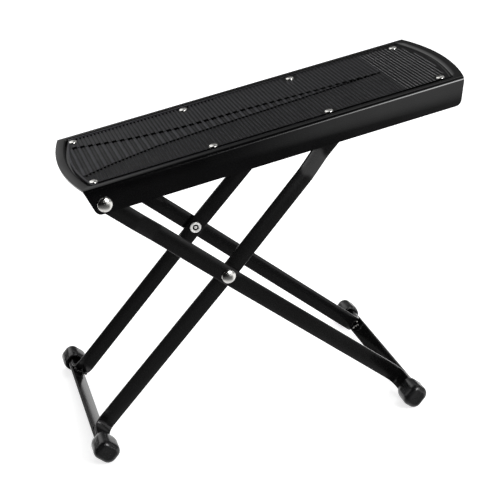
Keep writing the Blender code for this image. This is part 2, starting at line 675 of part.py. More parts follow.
def build_pivots():
    """Rivets and washers at the platform's pivot and at the crossing of the legs."""
    pivot_head = PLATFORM_HALF_WIDTH + FIT_GAP
    pivot_tail = OUTER_AT_PIVOT - STRAP_THICKNESS - FIT_GAP
    crossing_head = OUTER_AT_CROSSING + FIT_GAP
    crossing_tail = INNER_AT_CROSSING - STRAP_THICKNESS - FIT_GAP
    for side, sign in SIDES.items():
        pivot = [(r, sign * y) for r, y in pivot_rivet_profile(pivot_head, pivot_tail)]
        mesh = turned_mesh(f"pivot_rivet_{side}", pivot, "Y", ROUND_STEPS, (0, 0, 0))
        add_part(f"pivot_rivet_{side}", mesh, PLATFORM_FRAME, STEEL)
        washer = washer_mesh(
            f"pivot_washer_{side}", OUTER_AT_PIVOT + FIT_GAP, PIVOT_WASHER_THICKNESS, sign
        )
        add_part(f"pivot_washer_{side}", washer, PLATFORM_FRAME, NYLON)
        crossing = [(r, sign * y) for r, y in pivot_rivet_profile(crossing_head, crossing_tail)]
        mesh = turned_mesh(f"crossing_rivet_{side}", crossing, "Y", ROUND_STEPS, (0, 0, 0))
        add_part(f"crossing_rivet_{side}", mesh, OUTER_FRAME, STEEL)
        washer = washer_mesh(
            f"crossing_washer_{side}", INNER_AT_CROSSING + FIT_GAP, CROSSING_WASHER_THICKNESS, sign
        )
        add_part(f"crossing_washer_{side}", washer, OUTER_FRAME, NYLON)


def build_latch_rod():
    """The round rod across the inner legs, with its ends peened over."""
    shoulder = INNER_AT_ROD + FIT_GAP
    end = shoulder + ROD_HEAD_HEIGHT
    profile = [
        (0, -end),
        (ROD_HEAD_RADIUS, -end),
        (ROD_HEAD_RADIUS, -shoulder),
        (ROD_RADIUS, -shoulder),
        (ROD_RADIUS, shoulder),
        (ROD_HEAD_RADIUS, shoulder),
        (ROD_HEAD_RADIUS, end),
        (0, end),
    ]
    mesh = turned_mesh("latch_rod", profile, "Y", ROUND_STEPS, (CROSSING_TO_ROD, 0, 0))
    add_part("latch_rod", mesh, INNER_FRAME, ZINC)


RACK_TIPS = ROD_RADIUS + FIT_GAP
RACK_LEFT = FIRST_NOTCH_FROM_PIVOT - RACK_END_MARGIN
RACK_RIGHT = FIRST_NOTCH_FROM_PIVOT + (NOTCHES - 1) * NOTCH_PITCH + RACK_END_MARGIN


def notch_comb():
    """The outline that cuts a rack's notches: round, with a sloping lead on the pivot's side."""
    radius = ROD_RADIUS + FIT_GAP
    centre = RACK_TIPS + NOTCH_DEPTH - radius
    below = RACK_TIPS - OVERRUN
    outline = [(RACK_LEFT - OVERRUN, below)]
    for notch in range(NOTCHES):
        x = FIRST_NOTCH_FROM_PIVOT + notch * NOTCH_PITCH
        outline.append((x - radius - NOTCH_LEAD, below))
        outline.append((x - radius - NOTCH_LEAD, RACK_TIPS))
        for step in range(SMALL_ROUND_STEPS // 2 + 1):
            angle = math.pi * (1 - step / (SMALL_ROUND_STEPS // 2))
            outline.append((x + radius * math.cos(angle), centre + radius * math.sin(angle)))
        outline.append((x + radius, below))
    outline += [(RACK_RIGHT + OVERRUN, below), (RACK_RIGHT + OVERRUN, below - OVERRUN)]
    outline.append((RACK_LEFT - OVERRUN, below - OVERRUN))
    return outline


def build_racks():
    """Two notched angle strips, welded under the pan."""
    top = PAN_UNDERSIDE - FIT_GAP
    web = RACK_HALF_SPACING + SHEET_THICKNESS
    edge = RACK_HALF_SPACING + RACK_FOOT_WIDTH
    section = [
        (RACK_HALF_SPACING, RACK_TIPS),
        (web, RACK_TIPS),
        (web, top - SHEET_THICKNESS),
        (edge, top - SHEET_THICKNESS),
        (edge, top),
        (RACK_HALF_SPACING, top),
    ]
    for side, sign in SIDES.items():
        outline = [(sign * y, z) for y, z in section]
        mesh = plate_yz(f"notch_rack_{side}", outline, RACK_LEFT, RACK_RIGHT)
        rack = add_part(f"notch_rack_{side}", mesh, PLATFORM_FRAME, PAINT)
        comb = plate_xz(f"rack_comb_{side}", notch_comb(), -PLATFORM_WIDTH, PLATFORM_WIDTH)
        combine(rack, add_cutter(f"rack_comb_{side}", comb, PLATFORM_FRAME), "DIFFERENCE")


def cap_profile(bar_reach, sign):
    """A rubber cap's section over a bar's end: round bore, soft rim and a rounded closed end."""
    inner_end = bar_reach - CAP_GRIP
    floor = bar_reach + CAP_END_CLEARANCE
    end = floor + CAP_END_WALL
    profile = [
        (CAP_BORE_RADIUS, inner_end),
        (CAP_RIM_RADIUS - CAP_RIM_ROUND, inner_end),
        (CAP_RIM_RADIUS, inner_end + CAP_RIM_ROUND),
        (CAP_RADIUS, inner_end + CAP_TAPER_LENGTH),
    ]
    for step in range(DOME_STEPS + 1):
        angle = math.pi / 2 * step / DOME_STEPS
        profile.append(
            (
                CAP_RADIUS - CAP_END_RADIUS + CAP_END_RADIUS * math.cos(angle),
                end - CAP_END_RADIUS + CAP_END_RADIUS * math.sin(angle),
            )
        )
    profile += [(0, end), (0, floor), (CAP_BORE_RADIUS, floor)]
    return [(radius, sign * distance) for radius, distance in profile]


def build_foot_caps():
    """Four rubber caps on the ends of the foot bars, with a facet of each flat on the ground."""
    half_facet = math.pi / ROUND_STEPS
    places = (
        ("outer", CROSSING_TO_OUTER_FEET, OUTER_BAR_REACH, OUTER_FRAME, OUTER_SLOPE),
        ("inner", -CROSSING_TO_INNER_FEET, INNER_BAR_REACH, INNER_FRAME, -INNER_SLOPE),
    )
    for frame_name, distance, reach, frame, slope in places:
        for side, sign in SIDES.items():
            name = f"{frame_name}_foot_cap_{side}"
            mesh = turned_mesh(name, cap_profile(reach, sign), "Y", ROUND_STEPS, (0, 0, 0))
            cap = add_part(name, mesh, frame, RUBBER)
            cap.location = (distance, 0, 0)
            cap.rotation_euler = (0, -slope + half_facet, 0)


def main():
    """Builds every sub-part."""
    build_platform_tray()
    build_tread_mat()
    build_mat_rivets()
    build_outer_frame()
    build_inner_frame()
    build_pivots()
    build_latch_rod()
    build_racks()
    build_foot_caps()
    bpy.context.view_layer.update()


main()
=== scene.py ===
"""Looks of the folding footrest: gloss black strap frames under a sheet platform with a ribbed mat.

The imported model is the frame. Shapes that show as more than a silhouette are modelled again with
finer bends, and every surface gets a procedural finish. Lengths are in metres.
"""

from __future__ import annotations

import json
import logging
import math
from collections.abc import Callable, Iterable, Mapping, Sequence
from dataclasses import dataclass, field
from enum import Enum

import bmesh
import bpy
from mathutils import Matrix, Vector, noise

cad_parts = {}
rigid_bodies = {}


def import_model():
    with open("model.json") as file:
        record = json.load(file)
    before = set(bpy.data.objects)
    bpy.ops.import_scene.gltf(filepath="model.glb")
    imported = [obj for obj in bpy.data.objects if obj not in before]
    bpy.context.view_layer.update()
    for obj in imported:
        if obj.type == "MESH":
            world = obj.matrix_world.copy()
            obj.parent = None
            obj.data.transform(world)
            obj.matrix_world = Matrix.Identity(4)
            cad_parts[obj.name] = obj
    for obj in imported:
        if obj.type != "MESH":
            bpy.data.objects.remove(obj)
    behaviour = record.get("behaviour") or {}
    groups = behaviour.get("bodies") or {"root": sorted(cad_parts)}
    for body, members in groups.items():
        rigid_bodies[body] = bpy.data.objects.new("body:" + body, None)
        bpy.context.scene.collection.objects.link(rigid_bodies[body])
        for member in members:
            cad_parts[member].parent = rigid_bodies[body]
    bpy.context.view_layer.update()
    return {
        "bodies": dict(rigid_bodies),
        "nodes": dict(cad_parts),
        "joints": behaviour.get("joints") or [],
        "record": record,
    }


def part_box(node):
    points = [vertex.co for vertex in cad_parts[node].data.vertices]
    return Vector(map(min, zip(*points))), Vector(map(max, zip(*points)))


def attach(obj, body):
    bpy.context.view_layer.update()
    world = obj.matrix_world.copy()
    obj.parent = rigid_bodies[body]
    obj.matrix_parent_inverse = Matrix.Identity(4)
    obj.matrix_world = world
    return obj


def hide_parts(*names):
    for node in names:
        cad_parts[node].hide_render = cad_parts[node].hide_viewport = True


LOG = logging.getLogger("footrest")
MERGE_DISTANCE = 1e-6
STRAP_WIDTH, STRAP_THICKNESS = 0.012, 0.002
FIT = 0.0003
SHEET = 0.0012
HALF_WIDTH = 0.052
INNER_JOGGLE = 0.0051

Point2 = tuple[float, float]
Color = tuple[float, float, float]
Socket = bpy.types.NodeSocket
Sockets = Mapping[str | int, Socket]
Values = Mapping[str | int, object]


class Side(Enum):
    """The two sides of the footrest, by the sign of Y."""

    FRONT = -1
    BACK = 1

    @property
    def word(self) -> str:
        """The side's name as the CAD nodes spell it."""
        return self.name.lower()

    def mirror(self, outline: Iterable[Point2]) -> list[Point2]:
        """The outline with its second values on this side."""
        return [(first, self.value * second) for first, second in outline]


@dataclass(frozen=True)
class Linkage:
    """Where the linkage's axes are at rest, as (x, z) pairs.

    Args:
        crossing: the axis on which the legs cross.
        pivot: the axis on which the platform hangs.
        rod: the axis of the latch rod.
    """

    crossing: Point2
    pivot: Point2
    rod: Point2

    @classmethod
    def from_frame(cls, frame: dict) -> Linkage:
        """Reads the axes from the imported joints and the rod's box.


        Returns:
            The linkage at rest.
        """
        places = {joint["name"]: joint["pos_m"] for joint in frame["joints"]}
        low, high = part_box("latch_rod")
        middle = (low + high) / 2
        crossing = places["leg_fold"]
        pivot = places["platform_fold"]
        return cls((crossing[0], crossing[2]), (pivot[0], pivot[2]), (middle.x, middle.z))

    @staticmethod
    def _placed(origin: Point2, towards: Point2, reverse: bool) -> Matrix:
        """Sets a frame of axes on one axis of the linkage.

        Args:
            origin: the axis it stands on.
            towards: the axis that its X points to.
            reverse: whether X points away from there instead.

        Returns:
            The matrix from those axes to the row frame.
        """
        run = (towards[0] - origin[0], towards[1] - origin[1])
        turn = math.atan2(run[1], run[0]) + (math.pi if reverse else 0)
        return Matrix.Translation((origin[0], 0, origin[1])) @ Matrix.Rotation(-turn, 4, "Y")

    @property
    def outer(self) -> Matrix:
        """The outer legs' own axes: X from the crossing to their feet."""
        return self._placed(self.crossing, self.pivot, True)

    @property
    def inner(self) -> Matrix:
        """The inner legs' own axes: X from the crossing to the rod."""
        return self._placed(self.crossing, self.rod, False)

    @property
    def platform(self) -> Matrix:
        """The platform's own axes: X from its pivot to the rod, Z square to the tread."""
        return self._placed(self.pivot, self.rod, False)


class Graph:
    """A node tree with short ways to fill it."""

    def __init__(self, tree: bpy.types.NodeTree) -> None:
        """Keeps the tree."""
        self.tree = tree

    def feed(self, sockets: Sockets, values: Values) -> None:
        """Links or sets input sockets.

        Args:
            sockets: a node's inputs.
            values: a socket to link or a value to set, by the input's name or number.
        """
        for key, value in values.items():
            if isinstance(value, Socket):
                self.tree.links.new(value, sockets[key])
            else:
                sockets[key].default_value = value

    def add(self, kind: str, values: Values | None = None, **settings: object) -> Sockets:
        """Adds a node.

        Args:
            kind: its type, without the ShaderNode in front.
            values: what its inputs get.
            **settings: its own settings, which come first.

        Returns:
            Its outputs.
        """
        node = self.tree.nodes.new(f"ShaderNode{kind}")
        for name, setting in settings.items():
            setattr(node, name, setting)
        self.feed(node.inputs, values or {})
        return node.outputs

    def ramp(self, value: Socket, span: Point2, levels: Point2) -> Socket:
        """Adds a smooth step over a span, between the levels at its ends."""
        ends = dict(zip(("From Min", "From Max", "To Min", "To Max"), (*span, *levels)))
        return self.add("MapRange", {"Value": value, **ends}, interpolation_type="SMOOTHSTEP")[0]

    def blend(self, share: Socket, first: Socket | float, second: Socket | float) -> Socket:
        """Adds a mix of two values, by the share of the second."""
        return self.add("Mix", {"Factor": share, 2: first, 3: second}, data_type="FLOAT")[0]

    def tint(self, share: Socket, first: object, second: Sequence[float]) -> Socket:
        """Adds a mix of two colours, by the share of the second."""
        return self.add("Mix", {"Factor": share, 6: first, 7: second}, data_type="RGBA")[2]

    def product(self, first: Socket, second: Socket) -> Socket:
        """Adds the product of two values."""
        return self.add("Math", {0: first, 1: second}, operation="MULTIPLY")[0]


def shared_group(
    name: str, inputs: dict[str, float | None], fill: Callable[[Graph, Sockets], Values]
) -> bpy.types.NodeTree:
    """Makes a node group, once.

    Args:
        name: the group's name.
        inputs: each input's default, or None for a vector.
        fill: adds its nodes, and returns what its outputs give.

    Returns:
        The group.
    """
    group = bpy.data.node_groups.get(name)
    if group:
        return group
    group = bpy.data.node_groups.new(name, "ShaderNodeTree")
    for key, default in inputs.items():
        kind = "NodeSocketVector" if default is None else "NodeSocketFloat"
        socket = group.interface.new_socket(name=key, in_out="INPUT", socket_type=kind)
        if default is not None:
            socket.default_value = default
    graph = Graph(group)
    results = fill(graph, group.nodes.new("NodeGroupInput").outputs)
    for key in results:
        group.interface.new_socket(name=key, in_out="OUTPUT", socket_type="NodeSocketFloat")
    graph.feed(group.nodes.new("NodeGroupOutput").inputs, results)
    return group


def fill_mottle(graph: Graph, entry: Sockets) -> Values:
    """Orange peel and slow waves in sprayed or moulded skins.

    Args:
        graph: the group's nodes.
        entry: what comes in.

    Returns:
        The height, and a mask of the waves.
    """
    place = entry["Vector"]
    peel, wave = (
        graph.add("TexNoise", {"Vector": place, "Scale": entry[scale], "Detail": detail})[0]
        for scale, detail in (("Peel Scale", 2.0), ("Wave Scale", 3.0))
    )
    spread = graph.add("MapRange", {"Value": wave, "From Min": 0.35, "From Max": 0.65})[0]
    return {"Height": graph.blend(entry["Wave Share"], peel, wave), "Mask": spread}


def fill_specks(graph: Graph, entry: Sockets) -> Values:
    """Fine dust and pin-prick specks.

    Args:
        graph: the group's nodes.
        entry: what comes in.

    Returns:
        A mask that is 1 on a speck.
    """
    cells = graph.add("TexVoronoi", {"Vector": entry["Vector"], "Scale": entry["Scale"]})
    drift = graph.add("TexNoise", {"Vector": entry["Vector"], "Scale": 55.0})[0]
    ends = {"From Min": 0.28, "From Max": 0.05}
    near = graph.add("MapRange", {"Value": cells["Distance"], **ends})[0]
    return {"Mask": graph.product(graph.product(near, drift), entry["Amount"])}


@dataclass(frozen=True)
class Skin:
    """A procedural finish: one Principled BSDF whose colour, roughness and bump vary.

    Args:
        name: the material's name.
        slot: the record's material slot.
        color: the base colour.
        speck_color: the colour of what lies on it.
        roughness: the smoothest and roughest values.
        metallic: how far it is metal.
        bump: the depth of its mottle.
        peel_scale: how fine the mottle is, per metre.
        wave_share: how much of the height is slow waves.
        speck_amount: how much of it specks cover.
        specular: the specular level.
        crest_highlight_color: a lighter base colour, a painted highlight, where the mesh's crest
            attribute is 1.
    """

    name: str
    slot: str
    color: Color
    speck_color: Color
    roughness: Point2
    metallic: float = 0.0
    bump: float = 0.00002
    peel_scale: float = 900.0
    wave_share: float = 0.4
    speck_amount: float = 0.2
    specular: float = 0.5
    crest_highlight_color: Color | None = None

    def build(self) -> bpy.types.Material:
        """Makes the material.

        Returns:
            The material, or the one made before under this name.
        """
        found = bpy.data.materials.get(self.name)
        if found:
            return found
        material = bpy.data.materials.new(self.name)
        material.use_nodes = True
        graph = Graph(material.node_tree)
        place = graph.add("TexCoord")["Object"]
        mottle = graph.add(
            "Group",
            {"Vector": place, "Peel Scale": self.peel_scale, "Wave Share": self.wave_share},
            node_tree=shared_group(
                "surface_mottle",
                {"Vector": None, "Peel Scale": 900.0, "Wave Scale": 40.0, "Wave Share": 0.4},
                fill_mottle,
            ),
        )
        specks = graph.add(
            "Group",
            {"Vector": place, "Amount": self.speck_amount},
            node_tree=shared_group(
                "settled_specks", {"Vector": None, "Scale": 700.0, "Amount": 0.2}, fill_specks
            ),
        )
        base = (*self.color, 1)
        # painted highlight: the crest attribute lightens the base colour
        if self.crest_highlight_color:
            crest = graph.add("Attribute", attribute_name="crest")
            base = graph.tint(crest["Fac"], base, (*self.crest_highlight_color, 1))
        ends = dict(zip(("To Min", "To Max"), self.roughness))
        gloss = graph.add("MapRange", {"Value": mottle["Mask"], **ends})
        bump = graph.add("Bump", {"Height": mottle["Height"], "Distance": self.bump})
        graph.feed(
            material.node_tree.nodes["Principled BSDF"].inputs,
            {
                "Metallic": self.metallic,
                "Specular IOR Level": self.specular,
                "Base Color": graph.tint(specks["Mask"], base, (*self.speck_color, 1)),
                "Roughness": gloss["Result"],
                "Normal": bump["Normal"],
            },
        )
        return material


GLOSS_PAINT = Skin(
    "black_gloss_paint_skin", "black_gloss_paint", (0.0022, 0.0022, 0.0024), (0.02, 0.02, 0.02),
    (0.09, 0.14), bump=0.000008, speck_amount=0.08,
)
STRAP_PAINT = Skin(
    "black_strap_paint_skin", "black_gloss_paint", (0.0044, 0.0044, 0.0045), (0.02, 0.02, 0.02),
    (0.12, 0.18), bump=0.000008, speck_amount=0.06,
)
# Painted highlight: the crest colour lightens the rib crests and the border near the low end.
TREAD_RUBBER = Skin(
    "tread_rubber_skin", "black_tread_rubber", (0.0014, 0.0014, 0.0016), (0.09, 0.09, 0.094),
    (0.36, 0.48), bump=0.00004, peel_scale=1600.0, wave_share=0.2, speck_amount=0.5, specular=0.18,
    crest_highlight_color=(0.0350, 0.0350, 0.0400),
)
# Painted glint: a light base colour and bright specks stand in for the light the rib crests catch
# at the raised end.
TREAD_CREST_GLINT = Skin(
    "tread_crest_skin", "black_tread_rubber", (0.090, 0.090, 0.093), (0.40, 0.40, 0.40),
    (0.3, 0.4), bump=0.00003, peel_scale=1500.0, wave_share=0.3, speck_amount=0.6, specular=0.25,
)
# Painted shade for the field between the blocks at the raised end.
TREAD_SHADE = Skin(
    "tread_shade_skin", "black_tread_rubber", (0.0034, 0.0034, 0.0038), (0.02, 0.02, 0.02),
    (0.5, 0.6), bump=0.00003, peel_scale=1600.0, wave_share=0.2, speck_amount=0.3, specular=0.12,
)
# Painted shade: near-black plates stand in for pits, grooves and recesses that lie in shade.
PIT_SHADE = Skin(
    "tread_pit_skin", "black_tread_rubber", (0.0012, 0.0012, 0.0012), (0.004, 0.004, 0.004),
    (0.8, 0.9), specular=0.0,
)
FOOT_RUBBER = Skin(
    "foot_rubber_skin", "dark_foot_rubber", (0.0075, 0.0075, 0.008), (0.05, 0.05, 0.05),
    (0.20, 0.32), bump=0.00014, peel_scale=650.0, speck_amount=0.5,
)
POLISHED_STEEL = Skin(
    "polished_steel_skin", "polished_steel", (0.82, 0.81, 0.78), (0.6, 0.6, 0.58),
    (0.17, 0.27), metallic=1.0, bump=0.000006, peel_scale=500.0, wave_share=0.6, speck_amount=0.1,
)
# Painted highlight: near-white, barely metallic steel stands in for the bright reflection on the
# rivet tails and their domes.
TAIL_STEEL_HIGHLIGHT = Skin(
    "upset_steel_skin", "polished_steel", (0.95, 0.945, 0.93), (0.6, 0.6, 0.58),
    (0.25, 0.35), metallic=0.1, bump=0.000006, peel_scale=500.0, wave_share=0.6, speck_amount=0.1,
)
ZINC = Skin(
    "zinc_skin", "zinc_steel", (0.55, 0.56, 0.57), (0.4, 0.4, 0.4), (0.28, 0.42), metallic=1.0,
    peel_scale=1200.0,
)
NYLON = Skin(
    "nylon_skin", "black_nylon", (0.012, 0.012, 0.013), (0.05, 0.05, 0.05), (0.4, 0.5),
    speck_amount=0.1,
)
WELD_PAINT = Skin(
    "painted_weld_skin", "black_gloss_paint", (0.0022, 0.0022, 0.0023), (0.02, 0.02, 0.02),
    (0.05, 0.09), bump=0.00003, peel_scale=1100.0, wave_share=0.3, speck_amount=0.1,
)
# Painted glint: grey metal on the outer welds stands in for the glints of the gloss-painted lumps.
WELD_GLINT = Skin(
    "bare_weld_skin", "black_gloss_paint", (0.50, 0.49, 0.47), (0.2, 0.2, 0.2), (0.22, 0.34),
    metallic=1.0, speck_amount=0.3,
)


def new_object(name: str, mesh: bpy.types.Mesh) -> bpy.types.Object:
    """Links a mesh to the scene as an object at the origin.

    Args:
        name: the object's name.
        mesh: its mesh, in the row frame.

    Returns:
        The object.
    """
    piece = bpy.data.objects.new(name, mesh)
    bpy.context.scene.collection.objects.link(piece)
    return piece


def add_piece(
    shape: bmesh.types.BMesh, name: str, body: str, placing: Matrix, skin: Skin, smooth_deg: float,
    node: str | None = None, slot: str | None = None, recalc: bool = True,
) -> bpy.types.Object:
    """Makes a bmesh a piece of the frame, with its finish.

    Args:
        shape: the bmesh in its own axes, which is freed.
        name: the piece's name.
        body: the CAD body it rides on.
        placing: from its own axes to the row frame.
        skin: its only finish.
        smooth_deg: edges sharper than this stay sharp.
        node: the CAD node it stands for, if any.
        slot: the record's material slot, where it isn't the finish's own. It is not used.
        recalc: whether normals are recalculated first.

    Returns:
        The piece.
    """
    bmesh.ops.remove_doubles(shape, verts=shape.verts, dist=MERGE_DISTANCE)
    if recalc:
        bmesh.ops.recalc_face_normals(shape, faces=shape.faces)
    bmesh.ops.transform(shape, matrix=placing, verts=shape.verts, space=Matrix.Identity(4))
    mesh = bpy.data.meshes.new(name)
    shape.to_mesh(mesh)
    shape.free()
    mesh.shade_smooth()
    mesh.set_sharp_from_angle(angle=math.radians(smooth_deg))
    piece = new_object(name, mesh)
    mesh.materials.append(skin.build())
    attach(piece, body)
    slot or skin.slot
    if node:
        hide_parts(node)
    LOG.info("%s rides on %s: %d faces", name, body, len(mesh.polygons))
    return piece


def paint_node(node: str, skin: Skin) -> None:
    """Gives a CAD object that stays in the picture its finish.

    Args:
        node: the CAD node.
        skin: the finish.
    """
    materials = bpy.data.objects[node].data.materials
    materials.clear()
    materials.append(skin.build())


def turned(
    profile: Sequence[Point2], steps: int, centre: Vector = Vector((0, 0, 0)), along: str = "Y"
) -> bmesh.types.BMesh:
    """Spins a profile of (radius, distance) pairs about an axis.

    Args:
        profile: the closed outline, with radius 0 where it meets the axis.
        steps: facets round the turn.
        centre: where the profile's zero lies.
        along: the axis, Y or Z.

    Returns:
        The closed shape.
    """
    shape = bmesh.new()
    ring = []
    for radius, distance in profile:
        place = (radius, distance, 0) if along == "Y" else (radius, 0, distance)
        ring.append(shape.verts.new(place))
    edges = []
    for first, second in zip(ring, ring[1:] + ring[:1]):
        if first.co.x > 0 or second.co.x > 0:
            edges.append(shape.edges.new((first, second)))
    bmesh.ops.spin(
        shape,
        geom=ring + edges,
        cent=(0, 0, 0),
        axis=(0, 1, 0) if along == "Y" else (0, 0, 1),
        angle=2 * math.pi,
        steps=steps,
        use_merge=True,
        use_duplicate=False,
    )
    bmesh.ops.remove_doubles(shape, verts=shape.verts, dist=MERGE_DISTANCE)
    bmesh.ops.translate(shape, verts=shape.verts, vec=centre)
    return shape


def dome(radius: float, base: float, rise: float, steps: int) -> list[Point2]:
    """The outline of a dome from just inside its rim to the axis.

    Args:
        radius: its radius at the rim.
        base: where its rim lies.
        rise: its height.
        steps: chords in the outline.

    Returns:
        The outline, as (radius, distance) pairs.
    """
    line = []
    for step in range(1, steps):
        angle = math.pi / 2 * step / steps
        line.append((radius * math.cos(angle), base + rise * math.sin(angle)))
    return line + [(0.0, base + rise)]


def extrude(
    shape: bmesh.types.BMesh, face: bmesh.types.BMFace
) -> tuple[list[bmesh.types.BMVert], bmesh.types.BMFace]:
    """Extrudes a face in place.

    Args:
        shape: the bmesh.
        face: its face.

    Returns:
        The new face's corners, and the new face.
    """
    made = bmesh.ops.extrude_face_region(shape, geom=[face])["geom"]
    verts = [item for item in made if isinstance(item, bmesh.types.BMVert)]
    return verts, next(item for item in made if isinstance(item, bmesh.types.BMFace))


def flat_face(
    shape: bmesh.types.BMesh, outline: Sequence[Point2], height: float
) -> bmesh.types.BMFace:
    """Adds a level face.

    Args:
        shape: the bmesh that gets it.
        outline: its corners.
        height: its Z.

    Returns:
        The face.
    """
    ring = [shape.verts.new((x, y, height)) for x, y in outline]
    return bmesh.ops.contextual_create(shape, geom=ring)["faces"][0]


def add_box(
    shape: bmesh.types.BMesh, centre: Sequence[float], size: Sequence[float]
) -> list[bmesh.types.BMVert]:
    """Adds a box to a shape, and returns its corners."""
    place = Matrix.Translation(centre) @ Matrix.Diagonal((*size, 1))
    return bmesh.ops.create_cube(shape, size=1.0, matrix=place)["verts"]


def round_corners(points: Sequence[Point2], radii: Sequence[float], steps: int) -> list[Point2]:
    """Rounds the inner corners of an open line with arcs.

    Args:
        points: the line's corners.
        radii: a radius for each corner, with 0 at both ends.
        steps: chords in each arc.

    Returns:
        The rounded line.
    """
    longest_share = 0.45
    line = [points[0]]
    for index in range(1, len(points) - 1):
        corner = Vector(points[index])
        back = Vector(points[index - 1]) - corner
        ahead = Vector(points[index + 1]) - corner
        limit = longest_share * min(back.length, ahead.length)
        tangent = min(radii[index] / math.tan(back.angle(ahead) / 2), limit)
        start = corner + back.normalized() * tangent
        end = corner + ahead.normalized() * tangent
        for step in range(steps + 1):
            share = step / steps
            # a quadratic blend is within a hair of the arc at these angles
            spot = start.lerp(corner, share).lerp(corner.lerp(end, share), share)
            line.append((spot.x, spot.y))
    line.append(points[-1])
    return line


def resample(line: Sequence[Point2], pitch: float) -> list[Point2]:
    """Adds points to a line so that no run is longer than a pitch.

    Args:
        line: the line.
        pitch: the longest run.

    Returns:
        The finer line.
    """
    fine = [line[0]]
    for (x0, y0), (x1, y1) in zip(line, line[1:]):
        count = max(1, math.ceil(math.dist((x0, y0), (x1, y1)) / pitch))
        for step in range(1, count + 1):
            share = step / count
            fine.append((x0 + (x1 - x0) * share, y0 + (y1 - y0) * share))
    return fine


@dataclass
class Strap:
    """Flat bar stock with eased edges.

    Args:
        width: across the flat.
        thickness: through it.
        edge: the radius of its eased edges.
    """

    width: float = STRAP_WIDTH
    thickness: float = STRAP_THICKNESS
    edge: float = 0.00045

    def section(self, shape: bmesh.types.BMesh) -> bmesh.types.BMFace:
        """Starts a sweep with the bar's section, in the YZ plane.

        Args:
            shape: the bmesh that gets the face.

        Returns:
            The section's face.
        """
        stand = Matrix.Rotation(math.pi / 2, 4, "Y")
        made = bmesh.ops.create_grid(shape, x_segments=1, y_segments=1, size=0.5, matrix=stand)
        bmesh.ops.scale(shape, vec=(1, self.thickness, self.width), verts=made["verts"])
        bmesh.ops.bevel(
            shape,
            geom=made["verts"],
            offset=self.edge,
            offset_type="OFFSET",
            segments=3,
            profile=0.5,
            affect="VERTICES",
            material=-1,
        )
        return shape.faces[:][0]

    def sweep(self, line: Sequence[Point2], shares: Sequence[float]) -> bmesh.types.BMesh:
        """Sweeps the section along a line in the XY plane.

        Args:
            line: the middle of the bar.
            shares: the share of the full width at each point.

        Returns:
            The closed bar.
        """
        frames = []
        last = len(line) - 1
        for index, (x, y) in enumerate(line):
            before = Vector(line[max(0, index - 1)])
            after = Vector(line[min(last, index + 1)])
            run = (after - before).normalized()
            basis = Matrix(((run.x, -run.y, 0), (run.y, run.x, 0), (0, 0, 1))).to_4x4()
            size = Matrix.Diagonal((1, 1, shares[index], 1))
            frames.append(Matrix.Translation((x, y, 0)) @ basis @ size)
        shape = bmesh.new()
        face = self.section(shape)
        rest = Matrix.Identity(4)
        bmesh.ops.transform(shape, matrix=frames[0], verts=face.verts[:], space=rest)
        for before_frame, after_frame in zip(frames, frames[1:]):
            verts, face = extrude(shape, face)
            step = after_frame @ before_frame.inverted()
            bmesh.ops.transform(shape, matrix=step, verts=verts, space=rest)
        return shape


@dataclass(frozen=True)
class SmallRivet:
    """A domed rivet that pins the mat, turned about Z. Every field is a size."""

    rim_radius: float = 0.0029
    rim_height: float = 0.00022
    dome_radius: float = 0.00275
    dome_base: float = 0.0004
    dome_height: float = 0.0008
    shank: float = 0.0014
    tail_radius: float = 0.0024
    tail_height: float = 0.001
    tail_ease: float = 0.0002

    def profile(self, seat: float, under: float) -> list[Point2]:
        """The closed outline.

        Args:
            seat: where the head sits.
            under: where the tail sits.

        Returns:
            The outline, as (radius, distance) pairs.
        """
        end = under - self.tail_height
        return [
            (self.rim_radius, seat),
            (self.rim_radius, seat + self.rim_height),
            (self.dome_radius, seat + self.dome_base),
            *dome(self.dome_radius, seat + self.dome_base, self.dome_height, 8),
            (0.0, end),
            (self.tail_radius - self.tail_ease, end),
            (self.tail_radius, end + self.tail_ease),
            (self.tail_radius, under),
            (self.shank, under),
            (self.shank, seat),
        ]


